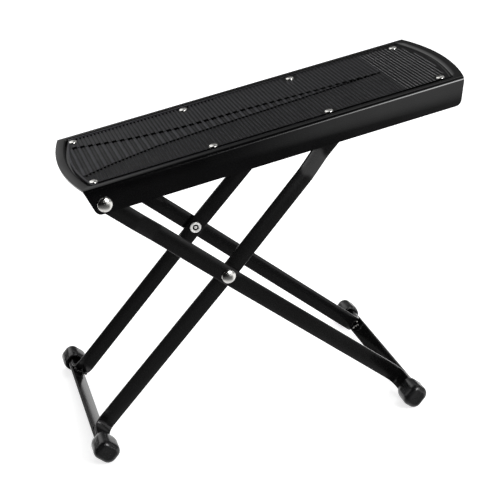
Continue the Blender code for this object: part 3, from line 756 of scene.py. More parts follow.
@dataclass
class Platform:
    """The pressed tray, its ribbed mat and what is fixed to them, in the platform's own axes.

    Args:
        link: the linkage at rest. The other fields are sizes, places and counts.
    """

    link: Linkage
    # the sheet
    length: float = 0.257
    half: float = HALF_WIDTH
    bulge: float = 0.0075
    pivot_from_end: float = 0.01055
    top: float = 0.01235
    pan_depth: float = 0.0026
    rim_side: float = 0.0058
    rim_end: float = 0.0065
    eased_edge: float = 0.00028
    # the rolled edge of its pan, which is a soft slope at the raised end
    level_slack: float = 0.00002
    side_slack: float = 0.0002
    end_slack: float = 0.0003
    roll: float = 0.0012
    roll_outside: float = 0.0004
    roll_inside: float = 0.0006
    slope_run: float = 0.0020
    slope_gap: float = 0.0012
    slope_fade: float = 0.0040
    # the mat and its border
    groove: float = 0.0010
    low_end_gap: float = 0.0006
    tuck: float = 0.0007
    corner: float = 0.0030
    arch_steps: int = 24
    mat_thickness: float = 0.0018
    border_width: float = 0.0016
    border_height: float = 0.0003
    border_ease: float = 0.0004
    border_foot: float = 0.0005
    # a painted highlight on the border near the low end
    border_highlight_run: float = 0.004
    worn_crest: float = 1.5
    # ribs, in the horn-shaped band and behind it
    rib_pitch: float = 0.002585
    rib_height: float = 0.00045
    rib_share: float = 0.56
    crest_share: float = 0.62
    crest_draft: float = 0.00030
    shortest_run: float = 0.0007
    end_clearance: float = 0.0008
    back_stop: float = 0.0349
    back_rib_share: float = 0.8
    back_gaps: Point2 = (0.0004, 0.0018)
    shortest_rib: float = 0.001
    horn_gaps: Point2 = (0.0010, 0.0017)
    slimmest_band: float = 0.0030
    wide_rib: float = 0.0021
    narrow_rib: float = 0.0010
    low_share: float = 0.6
    horn_upper: tuple[Point2, ...] = (
        (0.0, 0.0300), (0.0087, 0.0270), (0.0248, 0.0208), (0.0456, 0.0140), (0.0769, 0.0077),
        (0.1238, 0.0062), (0.1816, 0.0025), (0.2212, 0.0009),
    )
    horn_lower: tuple[Point2, ...] = (
        (0.0, -0.0290), (0.0066, -0.0261), (0.0243, -0.0199), (0.0545, -0.0128), (0.0816, -0.0098),
        (0.1180, -0.0069), (0.1634, -0.0037), (0.2020, -0.0004), (0.2212, 0.0007),
    )
    # studs in front of the band
    stud_pitch: float = 0.00175
    stud_half: float = 0.00052
    stud_room: float = 0.0006
    stud_gap: float = 0.0009
    # dark plates of painted shade for the pits round the band
    pit_lift: float = 0.00004
    pit_offset: float = 0.0001
    back_pit: Point2 = (0.0031, 0.0034)
    back_pit_taper: Point2 = (1.6, 0.170)
    front_pit: float = 0.0014
    edge_pit: float = 0.0012
    edge_pit_y: float = 0.0424
    edge_pit_end: float = 0.110
    low_pit_share: float = 0.5
    high_pit_share: float = 0.9
    edge_line_share: float = 0.55
    # blocks at the raised end, and a sheet of painted shade on the field between them
    block_gap: float = 0.0004
    block_pitch_share: float = 0.93
    block_half: float = 0.00048
    block_share: float = 0.34
    block_rows: int = 30
    shade_pitch: float = 0.0008
    shade_steps: int = 60
    shade_lift: float = 0.00003
    shade_thickness: float = 0.00005
    # the small rivets
    rivets: int = 4
    rivet_from_end: float = 0.0086
    rivet_from_far_end: float = 0.0111
    rivet_from_side: float = 0.0125
    rivet_room: float = 0.0042
    rivet_sink: float = 0.0007
    left: float = field(init=False)
    right: float = field(init=False)
    end_radius: float = field(init=False)
    inset_side: float = field(init=False)
    inset_end: float = field(init=False)
    mat_bottom: float = field(init=False)
    field_level: float = field(init=False)
    horn_end: float = field(init=False)

    def __post_init__(self) -> None:
        """Works out the places that follow from the sizes."""
        self.left = -self.pivot_from_end
        self.right = self.left + self.length
        self.end_radius = (self.half**2 + self.bulge**2) / (2 * self.bulge)
        self.inset_side = self.rim_side + self.groove
        self.inset_end = self.rim_end + self.groove
        self.mat_bottom = self.top - self.pan_depth + FIT
        self.field_level = self.mat_bottom + self.mat_thickness - self.rib_height
        self.horn_end = self.horn_upper[-1][0]

    def end_at(self, side: int, y: float, inset: float) -> float:
        """The X of an arched end, drawn in by an inset.

        Args:
            side: -1 for the pivot's end, 1 for the free end.
            y: the distance from the middle.
            inset: how far inside the sheet's edge.

        Returns:
            The X in the platform's axes.
        """
        tip = self.right + self.bulge if side > 0 else self.left - self.bulge
        centre = tip - side * self.end_radius
        return centre + side * math.sqrt((self.end_radius - inset) ** 2 - y**2)

    def outline(self) -> list[Point2]:
        """The mat's arched outline with rounded corners.

        Returns:
            The outline, anticlockwise from above.
        """
        low = self.inset_side - self.half
        high = self.half - self.inset_side + self.tuck
        steps = self.arch_steps
        line: list[Point2] = []
        for side in (1, -1):
            inset = self.inset_end + (-self.tuck if side > 0 else self.low_end_gap)
            for step in range(steps + 1):
                y = low + (high - low) * (step if side > 0 else steps - step) / steps
                line.append((self.end_at(side, y, inset), y))
        rounded: list[Point2] = []
        for index, point in enumerate(line):
            if index not in (0, steps, steps + 1, 2 * steps + 1):
                rounded.append(point)
                continue
            run = [line[index - 1], point, line[(index + 1) % len(line)]]
            rounded.extend(round_corners(run, [0, self.corner, 0], 6)[1:-1])
        return rounded

    def on_pan_edge(self, spot: Vector) -> bool:
        """Tells the corners of the sheet on the top edge of the pan.

        Args:
            spot: a corner, in the platform's axes.

        Returns:
            Whether it lies on that edge.
        """
        if abs(spot.z - self.top) > self.level_slack:
            return False
        inset = self.rim_end - self.end_slack
        within = self.end_at(-1, spot.y, inset) < spot.x < self.end_at(1, spot.y, inset)
        return within and abs(spot.y) <= self.half - self.rim_side + self.side_slack

    def widen_roll(self, shape: bmesh.types.BMesh) -> None:
        """Draws the top of the rolled pan edge outwards at the raised end, into a soft slope.

        Args:
            shape: the sheet's bmesh, in the row frame.
        """
        placing = self.link.platform
        to_local = placing.inverted()
        foot = self.top - self.roll
        outermost = self.rim_end - self.roll - self.roll_outside
        innermost = self.rim_end + self.roll_inside
        for vert in shape.verts:
            spot = to_local @ vert.co
            inset = self.end_at(1, spot.y, 0.0) - spot.x
            if spot.z < foot or not outermost < inset < innermost:
                continue
            room = self.half - self.rim_side - self.slope_gap - abs(spot.y)
            fade = max(0.0, min(1.0, room / self.slope_fade))
            spot.x += self.slope_run * fade * (spot.z - foot) / self.roll
            vert.co = placing @ spot

    def build_tray(self) -> None:
        """The painted sheet: the CAD form with a rolled pan edge and eased cut edges."""
        flat_deg, smooth_deg, eased_deg = 0.6, 40.0, 50
        shape = bmesh.new()
        shape.from_mesh(bpy.data.objects["platform_tray"].data)
        bmesh.ops.remove_doubles(shape, verts=shape.verts, dist=MERGE_DISTANCE)
        bmesh.ops.dissolve_limit(
            shape, angle_limit=math.radians(flat_deg), verts=shape.verts, edges=shape.edges
        )
        to_local = self.link.platform.inverted()
        pan_edge = []
        for edge in shape.edges:
            if all(self.on_pan_edge(to_local @ vert.co) for vert in edge.verts):
                pan_edge.append(edge)
        bmesh.ops.bevel(
            shape,
            geom=pan_edge,
            offset=self.roll,
            offset_type="OFFSET",
            segments=4,
            profile=0.5,
            affect="EDGES",
            material=-1,
            clamp_overlap=True,
        )
        self.widen_roll(shape)
        piece = add_piece(
            shape, "painted_tray", "platform", Matrix.Identity(4), GLOSS_PAINT, smooth_deg,
            "platform_tray", recalc=False,
        )
        ease = piece.modifiers.new("eased_edges", "BEVEL")
        ease.width = self.eased_edge
        ease.segments = 2
        ease.limit_method = "ANGLE"
        ease.angle_limit = math.radians(eased_deg)
        ease.harden_normals = True

    def rivet_places(self) -> list[tuple[str, float, float]]:
        """Lays out the small rivets.

        Returns:
            The CAD node, X and Y of each.
        """
        first = self.left + self.rivet_from_end
        last = self.right - self.rivet_from_far_end
        places = []
        for side in Side:
            y = side.value * (self.half - self.rivet_from_side)
            for number in range(self.rivets):
                x = first + (last - first) * number / (self.rivets - 1)
                places.append((f"mat_rivet_{side.word}_{number + 1}", x, y))
        return places

    def horn_at(self, along: float) -> Point2:
        """The edges of the tapering ribbed band.

        Args:
            along: the distance from the platform's corner.

        Returns:
            The band's Y at its back and front edges.
        """
        edges = []
        for line in (self.horn_upper, self.horn_lower):
            for (x0, y0), (x1, y1) in zip(line, line[1:]):
                if x0 <= along <= x1:
                    share = (along - x0) / (x1 - x0)
                    edges.append(y0 + (y1 - y0) * share)
                    break
        return edges[0], edges[1]

    def clear_of_rivets(self, x: float, y: float) -> bool:
        """Whether a spot on the mat is outside every rivet's seat."""
        seats = self.rivet_places()
        return all(math.hypot(x - rx, y - ry) > self.rivet_room for _, rx, ry in seats)

    def reach_at(self, x: float) -> Point2 | None:
        """Finds how far the tread reaches inside the mat's border.

        Args:
            x: the place along the platform.

        Returns:
            The lowest and highest Y there, or None past the ends.
        """
        steps = 30
        limit = self.half - self.inset_side - self.border_width
        inset = self.inset_end + self.border_width + self.low_end_gap
        low, high = x - self.end_clearance, x + self.end_clearance
        inside = []
        for step in range(-steps, steps + 1):
            y = limit * step / steps
            if self.end_at(-1, y, inset) < low and high < self.end_at(1, y, inset):
                inside.append(y)
        return (inside[0], inside[-1]) if len(inside) > 2 else None

    def add_rib(
        self, shape: bmesh.types.BMesh, x: float, low: float, high: float, width: float,
        height: float,
    ) -> None:
        """Adds one rib with a narrower crest.

        Args:
            shape: the bmesh that gets it.
            x: its middle along the platform.
            low: its lowest Y.
            high: its highest Y.
            width: its width at the root.
            height: its height above the field.
        """
        waist = self.field_level + height / 2
        verts = add_box(shape, (x, (low + high) / 2, waist), (width, high - low, height))
        crest = [vert for vert in verts if vert.co.z > waist]
        # painted highlight: the rib's crest gets the lighter crest colour, in step with its height
        layer = shape.verts.layers.float.get("crest")
        if layer:
            for vert in crest:
                vert[layer] = min(1.0, height / self.rib_height)
        middle = Vector((x, (low + high) / 2, 0))
        run_share = 1 - self.crest_draft / max(high - low, self.shortest_run)
        bmesh.ops.translate(shape, verts=crest, vec=-middle)
        bmesh.ops.scale(shape, vec=(self.crest_share, run_share, 1), verts=crest)
        bmesh.ops.translate(shape, verts=crest, vec=middle)

    def build_mat(self) -> None:
        """The rubber mat: a bordered sheet, cross ribs, a horn-shaped band and small studs."""
        shape = bmesh.new()
        layer = shape.verts.layers.float.new("crest")
        verts, top_face = extrude(shape, flat_face(shape, self.outline(), self.mat_bottom))
        rise = self.mat_thickness + self.border_height - FIT
        bmesh.ops.translate(shape, verts=verts, vec=(0, 0, rise))
        bmesh.ops.inset_region(shape, faces=[top_face], thickness=self.border_ease, depth=FIT)
        flat = self.border_width - (self.border_ease + self.border_foot)
        for thickness in (flat, self.border_foot):
            bmesh.ops.inset_region(shape, faces=[top_face], thickness=thickness)
        drop = self.border_height + self.rib_height
        bmesh.ops.translate(shape, verts=top_face.verts[:], vec=(0, 0, -drop))
        border = self.field_level + self.border_height / 3
        # painted highlight: the border near the low end gets the lighter crest colour
        for vert in shape.verts:
            if vert.co.z > border:
                start = self.end_at(-1, vert.co.y, self.inset_end + self.low_end_gap)
                vert[layer] = self.worn_crest if vert.co.x - start < self.border_highlight_run else 0.0
        self.add_tread(shape)
        placing = self.link.platform
        add_piece(shape, "ribbed_mat", "platform", placing, TREAD_RUBBER, 30.0, "tread_mat")

    def add_tread(self, shape: bmesh.types.BMesh) -> None:
        """Adds the ribs and studs of the tread to the mat, as far as the band reaches.

        Args:
            shape: the mat's bmesh, in the platform's axes.
        """
        pitch, height = self.rib_pitch, self.rib_height
        rib = pitch * self.rib_share
        rows = int((self.half - self.inset_side - self.border_width) / self.stud_pitch)
        for index in range(math.ceil(self.horn_end / pitch)):
            x = self.left + index * pitch
            reach = self.reach_at(x)
            if reach is None:
                continue
            low, high = reach
            upper, lower = self.horn_at(index * pitch)
            wide = index % 2 == 0
            at_rivet = not self.clear_of_rivets(x, self.half - self.rivet_from_side)
            back = min(high, self.back_stop) if at_rivet else high
            start = upper + self.back_gaps[0 if wide else 1]
            if start < back - self.shortest_rib:
                self.add_rib(shape, x, start, back, rib, height * self.back_rib_share)
            if upper - lower > self.slimmest_band:
                low_end = max(low, lower + self.horn_gaps[0])
                high_end = min(high, upper - self.horn_gaps[1])
                if wide:
                    self.add_rib(shape, x, low_end, high_end, self.wide_rib, height)
                else:
                    thin = height * self.low_share
                    self.add_rib(shape, x, low_end, high_end, self.narrow_rib, thin)
            self.add_studs(
                shape, x, range(-1, -rows - 1, -1), (low, lower - self.stud_gap), self.stud_half,
                (rib, height * self.low_share),
            )

    def add_studs(
        self, shape: bmesh.types.BMesh, x: float, rows: Iterable[int], span: Point2, half: float,
        section: Point2,
    ) -> None:
        """Adds a line of studs across the platform, except where a rivet sits.

        Args:
            shape: the bmesh that gets them.
            x: their middle along the platform.
            rows: their numbers from the middle.
            span: the lowest and highest Y they may reach.
            half: half a stud's length.
            section: its width and height.
        """
        for row in rows:
            y = row * self.stud_pitch
            fits = span[0] <= y - self.stud_room and y + self.stud_room <= span[1]
            if fits and self.clear_of_rivets(x, y):
                self.add_rib(shape, x, y - half, y + half, *section)

    def build_pit_shade(self) -> None:
        """Dark plates of painted shade for the pits that edge the horn-shaped band, and a dark line
        along the front, a painted shadow of the groove.
        """
        shape = bmesh.new()
        floor = self.field_level + self.pit_lift
        low, high = self.rib_height * self.low_pit_share, self.rib_height * self.high_pit_share

        def plate(x: float, y: float, run: float, across: float, height: float) -> None:
            """Adds a thin dark plate of painted shade."""
            add_box(shape, (x, y, floor + height / 2), (run, across, height))

        for index in range(2, int(self.horn_end / self.rib_pitch)):
            along = index * self.rib_pitch
            x = self.left + along
            between = x + self.rib_pitch / 2
            upper, lower = self.horn_at(along)
            if self.reach_at(x) is None:
                continue
            if index % 2 == 1 and upper - lower > self.end_clearance:
                taper = min(1.0, self.back_pit_taper[0] - along / self.back_pit_taper[1])
                run, across = self.back_pit
                plate(x, upper + self.pit_offset, run, across * taper, low)
            plate(between, lower, self.front_pit, self.front_pit, high)
            if along < self.edge_pit_end:
                plate(between, self.edge_pit_y, self.edge_pit, self.edge_pit, low)
        # painted shadow: a dark strip where the groove along the front lies in shade
        ledge = self.half - self.inset_side - self.border_width * self.edge_line_share
        run = self.length - 2 * self.inset_end - 2 * self.corner
        middle = (self.left + self.right) / 2
        plate(middle, -ledge, run, self.border_width, self.border_height + self.rib_height)
        add_piece(shape, "tread_pits", "platform", self.link.platform, PIT_SHADE, 30.0)

    def build_crests(self) -> None:
        """Ribs in small blocks where the band has run out, near the raised end, in a light colour
        that paints the glint of their crests.
        """
        shape = bmesh.new()
        pitch = self.rib_pitch * self.block_pitch_share
        first = self.left + self.horn_end + self.block_gap
        rows = int(self.half / self.stud_pitch)
        for index in range(self.block_rows):
            x = first + index * pitch
            reach = self.reach_at(x)
            if reach is not None:
                self.add_studs(
                    shape, x, range(-rows, rows + 1), reach, self.block_half,
                    (pitch * self.block_share, self.rib_height),
                )
        add_piece(shape, "tread_crests", "platform", self.link.platform, TREAD_CREST_GLINT, 30.0)
        self.build_shade(first - self.shade_pitch)

    def build_shade(self, first: float) -> None:
        """A matt, dark sheet of painted shade over the field between the blocks at the raised end.

        Args:
            first: where it starts along the platform.
        """
        shape = bmesh.new()
        low_side: list[Point2] = []
        high_side: list[Point2] = []
        for index in range(self.shade_steps):
            x = first + index * self.shade_pitch
            reach = self.reach_at(x)
            if reach is not None:
                low_side.append((x, reach[0]))
                high_side.append((x, reach[1]))
        ring = low_side + high_side[::-1]
        verts, _ = extrude(shape, flat_face(shape, ring, self.field_level + self.shade_lift))
        bmesh.ops.translate(shape, verts=verts, vec=(0, 0, self.shade_thickness))
        add_piece(shape, "tread_shade", "platform", self.link.platform, TREAD_SHADE, 30.0)

    def build_rivets(self) -> None:
        """Polished domes over the mat's small rivets."""
        seat = self.mat_bottom + self.mat_thickness - self.rivet_sink + FIT
        under = self.top - self.pan_depth - SHEET - FIT
        profile = SmallRivet().profile(seat, under)
        for node, x, y in self.rivet_places():
            shape = turned(profile, 32, Vector((x, y, 0)), "Z")
            name, placing = f"polished_{node}", self.link.platform
            add_piece(shape, name, "platform", placing, POLISHED_STEEL, 50.0, node)

    def build(self) -> None:
        """Builds everything that the platform carries."""
        self.build_tray()
        self.build_mat()
        self.build_pit_shade()
        self.build_crests()
        self.build_rivets()
        for side in Side:
            paint_node(f"notch_rack_{side.word}", GLOSS_PAINT)


@dataclass(frozen=True)
class Bead:
    """The lumps of a weld.

    Args:
        skin: their finish.
        lumps: how many show.
        run: how far along the seam they spread.
        size: the radius of the smallest.
        scatter: how far they stray along, across and up.
        strides: how far apart lumps, sides and parts lie in the noise.
        grain: the depth and scale of the noise on each lump.
    """

    skin: Skin
    lumps: int
    run: float
    size: float
    scatter: tuple[float, float, float] = (0.0026, 0.0030, 0.0010)
    strides: tuple[float, float, float] = (1.37, 3.1, 7.3)
    grain: Point2 = (0.2, 1100)


@dataclass
class StrapFrame:
    """Two strap legs, the bar across their feet and the welds, in the frame's own axes.

    Args:
        name: outer or inner.
        placing: from those axes to the row frame.
        corners: each corner of a leg's path, as (distance along, distance from the middle).
        radii: the bend radius at each corner.
        bar_place: the bar's distance along the legs.
        bar_reach: half the bar's length.
        seam: where the weld lies, as (distance along, distance from the middle).
        bead: the weld.
        strap: the bar stock.
        nose_shares: where points lie along the round upper end, as shares of its radius.
        tip_share: the share of full width at the very tip.
    """

    name: str
    placing: Matrix
    corners: Sequence[Point2]
    radii: Sequence[float]
    bar_place: float
    bar_reach: float
    seam: Point2
    bead: Bead
    strap: Strap = field(default_factory=Strap)
    nose_shares: Sequence[float] = (0.0, 0.03, 0.1, 0.2, 0.35, 0.55, 0.78, 1.0)
    tip_share: float = 0.12

    @property
    def body(self) -> str:
        """The CAD body."""
        return f"{self.name}_legs"

    def width_shares(self, line: Sequence[Point2]) -> list[float]:
        """Rounds the leg's upper end.

        Args:
            line: the middle of the leg.

        Returns:
            The share of full width at each point.
        """
        shares = []
        tip = line[0][0]
        radius = self.strap.width / 2
        for x, _ in line:
            run = min(radius, abs(x - tip))
            across = math.sqrt(max(0.0, radius**2 - (radius - run) ** 2))
            shares.append(max(self.tip_share, across / radius))
        return shares

    def build_strap(self, line: Sequence[Point2], shares: Sequence[float], node: str) -> None:
        """Sweeps and dresses one length of strap.

        Args:
            line: its middle.
            shares: the share of the full width at each point.
            node: the CAD node it stands for.
        """
        shape = self.strap.sweep(line, shares)
        name = f"painted_{node}"
        add_piece(shape, name, self.body, self.placing, STRAP_PAINT, 50.0, node)

    def build_legs(self) -> None:
        """The two legs, with smooth joggles and the bend into the tab."""
        bend_steps, longest_run = 14, 0.004
        for side in Side:
            line = round_corners(side.mirror(self.corners), self.radii, bend_steps)
            (x, y), second = line[:2]
            heading = 1 if second[0] > x else -1
            nose = [(x + heading * share * self.strap.width / 2, y) for share in self.nose_shares]
            line = resample(nose + line[1:], longest_run)
            self.build_strap(line, self.width_shares(line), f"{self.name}_leg_{side.word}")

    def build_bar(self) -> None:
        """The flat bar across the feet."""
        longest_run = 0.006
        ends = [(self.bar_place, -self.bar_reach), (self.bar_place, self.bar_reach)]
        line = resample(ends, longest_run)
        self.build_strap(line, [1.0] * len(line), f"{self.name}_foot_bar")

    def build_welds(self) -> None:
        """A bead of lumps in the wedge between each leg's bend and the bar."""
        bead = self.bead
        towards = 1 if self.bar_place > 0 else -1
        for side in Side:
            shape = bmesh.new()
            for index in range(bead.lumps):
                spread = []
                for part in range(4):
                    counts = (index, side.value, part)
                    spot = [count * stride for count, stride in zip(counts, bead.strides)]
                    spread.append(noise.noise(Vector(spot)))
                share = index / (bead.lumps - 1) - 0.5
                x = self.seam[0] + towards * spread[0] * bead.scatter[0]
                y = side.value * (self.seam[1] + spread[1] * bead.scatter[1])
                centre = Vector((x, y, share * bead.run + spread[2] * bead.scatter[2]))
                made = bmesh.ops.create_icosphere(
                    shape,
                    subdivisions=3,
                    radius=bead.size * (1 + abs(spread[3])),
                    matrix=Matrix.Translation(centre),
                )
                depth, scale = bead.grain
                for vert in made["verts"]:
                    vert.co += (vert.co - centre) * depth * noise.noise(vert.co * scale)
            name = f"{self.name}_weld_{side.word}"
            add_piece(shape, name, self.body, self.placing, bead.skin, 60.0)

    def build(self) -> None:
        """Builds the frame."""
        self.build_legs()
        self.build_bar()
        self.build_welds()


@dataclass
class Hardware:
    """Rivets and the latch rod, turned about Y.

    Args:
        link: the linkage at rest. The other fields are sizes, with a rivet's tail measured from
            its seat, and each dome_step a share of the little dome's radius and its height.
    """

    link: Linkage
    pivot_washer: float = 0.0025
    crossing_washer: float = 0.0006
    clearance: float = 0.0024
    head_radius: float = 0.0050
    head_height: float = 0.0020
    head_lip_share: float = 0.2
    head_eases: tuple[float, float, float] = (0.0001, 0.00012, 0.0002)
    shank: float = 0.0030
    tail_radius: float = 0.0041
    tail_height: float = 0.0011
    tail_round_share: float = 0.55
    bore: float = 0.0023
    recess: float = 0.0001
    dome_radius: float = 0.0011
    dome_steps: tuple[Point2, ...] = (
        (0.0, 0.0), (1.0, 0.0), (1.0, 0.0003), (0.75, 0.0006), (0.4, 0.00075), (0.0, 0.0008),
    )
    rod_radius: float = 0.0030
    peen_radius: float = 0.0042
    peen_height: float = 0.0009
    peen_ease: Point2 = (0.0002, 0.0003)
    peen_round: Point2 = (0.0006, 0.0001)

    def rivet_profile(self, head_base: float, tail_base: float) -> list[Point2]:
        """A domed head and a shank.

        Args:
            head_base: where the head seats.
            tail_base: where the tail seats.

        Returns:
            The closed profile.
        """
        lip = self.head_height * self.head_lip_share
        under, above, inside = (self.head_radius - ease for ease in self.head_eases)
        return [
            (under, head_base),
            (self.head_radius, head_base + lip / 2),
            (above, head_base + lip),
            *dome(inside, head_base + lip, self.head_height - lip, 14),
            (0.0, tail_base),
            (self.shank, tail_base),
            (self.shank, head_base),
        ]

    def tail_profile(self, tail_base: float) -> list[Point2]:
        """A rolled ring, open in the middle.

        Args:
            tail_base: where the tail seats.

        Returns:
            The closed profile.
        """
        steps = 8
        end = tail_base - self.tail_height
        rise = self.tail_height * self.tail_round_share
        middle = (self.bore + self.tail_radius) / 2
        half = (self.tail_radius - self.bore) / 2
        points = [(self.bore, tail_base)]
        for step in range(steps + 1):
            angle = math.pi * step / steps
            points.append((middle - half * math.cos(angle), end + rise * (1 - math.sin(angle))))
        return points + [(self.tail_radius, tail_base)]

    def build_tail(self, word: str, side: Side, base: float, placing: Matrix, body: str) -> None:
        """The rolled ring of a rivet's tail, with a dark disc of painted shade in its recess and a
        little dome inside it.

        Args:
            word: which rivet.
            side: which side it is on.
            base: where the tail seats.
            placing: from its axes to the row frame.
            body: the CAD body it rides on.
        """
        floor = base - self.recess
        bump = [(self.dome_radius * share, floor - drop) for share, drop in self.dome_steps]
        recess = [(0.0, base), (self.bore, base), (self.bore, floor), (0.0, floor)]
        # painted highlight: the ring and its dome are near-white steel
        for part, outline, skin in (
            ("tail", self.tail_profile(base), TAIL_STEEL_HIGHLIGHT),
            ("tail_dome", bump, TAIL_STEEL_HIGHLIGHT),
            ("tail_recess", recess, PIT_SHADE),
        ):
            shape = turned(side.mirror(outline), 48)
            name = f"{word}_{part}_{side.word}"
            add_piece(shape, name, body, placing, skin, 60.0, slot=TAIL_STEEL_HIGHLIGHT.slot)

    def build(self) -> None:
        """Builds the four big rivets and the rod."""
        at_pivot = HALF_WIDTH - SHEET - self.pivot_washer - 2 * FIT
        outer = HALF_WIDTH - SHEET - self.clearance - self.head_height - FIT
        inner = outer - STRAP_THICKNESS - self.crossing_washer - 2 * FIT
        for word, head_base, tail_seat, placing, body in (
            ("pivot", HALF_WIDTH + FIT, at_pivot, self.link.platform, "platform"),
            ("crossing", outer + FIT, inner, self.link.outer, "outer_legs"),
        ):
            tail_base = tail_seat - STRAP_THICKNESS - FIT
            for side in Side:
                node = f"{word}_rivet_{side.word}"
                shape = turned(side.mirror(self.rivet_profile(head_base, tail_base)), 64)
                add_piece(shape, f"polished_{node}", body, placing, POLISHED_STEEL, 60.0, node)
                self.build_tail(word, side, tail_base, placing, body)
                paint_node(f"{word}_washer_{side.word}", NYLON)
        self.build_rod(inner - INNER_JOGGLE)

    def build_rod(self, seat: float) -> None:
        """The rod with its ends peened over the inner legs.

        Args:
            seat: the outer face of the inner legs at the rod.
        """
        shoulder = seat + FIT
        end = shoulder + self.peen_height
        half_profile = [
            (self.rod_radius, shoulder),
            (self.peen_radius - self.peen_ease[0], shoulder),
            (self.peen_radius, shoulder + self.peen_ease[1]),
            (self.peen_radius - self.peen_round[0], end - self.peen_round[1]),
            (self.rod_radius, end),
            (0.0, end),
        ]
        profile = half_profile + Side.FRONT.mirror(reversed(half_profile))
        x = (Vector(self.link.rod) - Vector(self.link.crossing)).length
        shape = turned(profile, 48, Vector((x, 0, 0)))
        placing = self.link.inner
        add_piece(shape, "zinc_latch_rod", "inner_legs", placing, ZINC, 40.0, "latch_rod")


@dataclass
class FootCap:
    """A moulded rubber cap on the end of a foot bar, round at its rim and boxy further out.

    Args:
        node: the CAD node.
        body: the body it rides on.
        centre: its axis, as (x, z).
        reach: where the bar inside ends.
        side: which side it is on.
        upright: the direction of the bar's width. The other fields are sizes.
    """

    node: str
    body: str
    centre: Point2
    reach: float
    side: Side
    upright: Vector
    radius: float = 0.0090
    section: Point2 = (0.0085, 0.0073)
    section_corner: float = 0.0056
    rim: float = 0.0083
    rim_flat: float = 0.0007
    rim_ease: float = 0.0002
    rim_run: float = 0.0009
    swell_run: float = 0.003
    lead_in: float = 0.0003
    bore: float = 0.0067
    grip: float = 0.0110
    end_gap: float = 0.0015
    end_wall: float = 0.003
    end_radius: float = 0.0036
    dimple: Point2 = (0.0046, 0.0002)
    facets: int = 96

    def share_at(self, spot: Vector) -> float:
        """The share of the round section's radius that the boxy section keeps.

        Args:
            spot: a place relative to the cap's axis.

        Returns:
            The share.
        """
        flat = Vector((spot.x, 0, spot.z))
        if flat.length < MERGE_DISTANCE:
            return 1.0
        flat.normalize()
        along = abs(flat.dot(self.upright))
        across = math.sqrt(max(0.0, 1 - along**2))
        long_run, short_run = (size - self.section_corner for size in self.section)
        if across * self.section[0] <= along * short_run:
            return self.section[0] / along / self.radius
        if along * self.section[1] <= across * long_run:
            return self.section[1] / across / self.radius
        middle = along * long_run + across * short_run
        rest = long_run**2 + short_run**2 - middle**2
        return (middle + math.sqrt(self.section_corner**2 - rest)) / self.radius

    def profile(self) -> list[Point2]:
        """The cap's closed outline, before it gets its boxy section.

        Returns:
            The outline, as (radius, distance) pairs.
        """
        cad_facets, swell_steps, round_steps = 24, 4, 10
        start = self.reach - self.grip
        floor = self.reach + self.end_gap
        end = floor + self.end_wall
        flat = self.radius * math.cos(math.pi / cad_facets)
        points = [
            (self.bore, start + self.lead_in),
            (self.bore + self.lead_in, start),
            (self.rim - self.rim_flat, start),
            (self.rim - self.rim_ease, start + self.lead_in),
            (self.rim, start + self.rim_run),
        ]
        for step in range(1, swell_steps + 1):
            share = step / swell_steps
            ease = share * share * (3 - 2 * share)
            run = start + self.rim_run + self.swell_run * share
            points.append((self.rim + (flat - self.rim) * ease, run))
        radius = self.end_radius
        for step in range(round_steps + 1):
            angle = math.pi / 2 * step / round_steps
            across, along = radius * math.cos(angle), radius * math.sin(angle)
            points.append((flat - radius + across, end - radius + along))
        hollow, depth = self.dimple
        return points + [(hollow, end), (0.0, end - depth), (0.0, floor), (self.bore, floor)]

    def build(self) -> None:
        """Builds and dresses the cap."""
        shape = turned(self.side.mirror(self.profile()), self.facets)
        for vert in shape.verts:
            share = self.share_at(vert.co)
            vert.co = Vector((vert.co.x * share, vert.co.y, vert.co.z * share))
        place = Matrix.Translation((self.centre[0], 0, self.centre[1]))
        add_piece(shape, f"rubber_{self.node}", self.body, place, FOOT_RUBBER, 45.0, self.node)


# how bright mirrors show the room: a heading's axis, where a smooth step over it starts and ends,
# and what the step gives there
MIRROR_STEPS: dict[str, tuple[str, Point2, Point2]] = {
    "over_horizon": ("Z", (-0.01, 0.01), (0, 1)),
    "low_back": ("X", (-0.34, 0.17), (1.8, 0.13)),
    "high_back": ("X", (-0.16, 0.0), (1.8, 0.14)),
    "to_high_back": ("Z", (0.58, 0.76), (0, 1)),
    "ledge_rise": ("Z", (0.52, 0.62), (0, 1)),
    "ledge_fall": ("Z", (0.68, 0.78), (1, 0)),
    "ledge_side": ("X", (0.02, 0.2), (0, 1)),
    "lit_front": ("X", (0.07, 0.34), (0.02, 1.9)),
    "strip": ("X", (0.12, 0.31), (0.8, 9.0)),
    "to_strip": ("Z", (0.08, 0.26), (0, 1)),
    "strip_top": ("Z", (0.54, 0.72), (1.0, 0.05)),
    "right_bound": ("X", (0.38, 0.58), (1.0, 0.04)),
    "to_front": ("Z", (-0.10, 0.15), (0, 1)),
    "to_back": ("Y", (0.0, 0.25), (0, 1)),
    "dim_left": ("X", (-0.45, -0.28), (0.05, 1.0)),
    "past_left": ("Z", (0.24, 0.40), (0, 1)),
    "far_ground": ("X", (0.215, 0.36), (0.0, 1.19)),
    "near_ground": ("Z", (-0.44, -0.36), (0.15, 0.06)),
    "to_far_ground": ("Z", (-0.34, -0.21), (0, 1)),
    "to_below": ("Z", (-0.85, -0.55), (1, 0)),
    "to_right_ground": ("X", (0.46, 0.66), (0, 1)),
    "to_back_ground": ("Y", (-0.20, 0.30), (0, 1)),
}
MIRROR_LEVELS = {"ledge": 1.0, "front": 0.06, "below": 1.0, "right": 1.375, "behind": 1.5625}


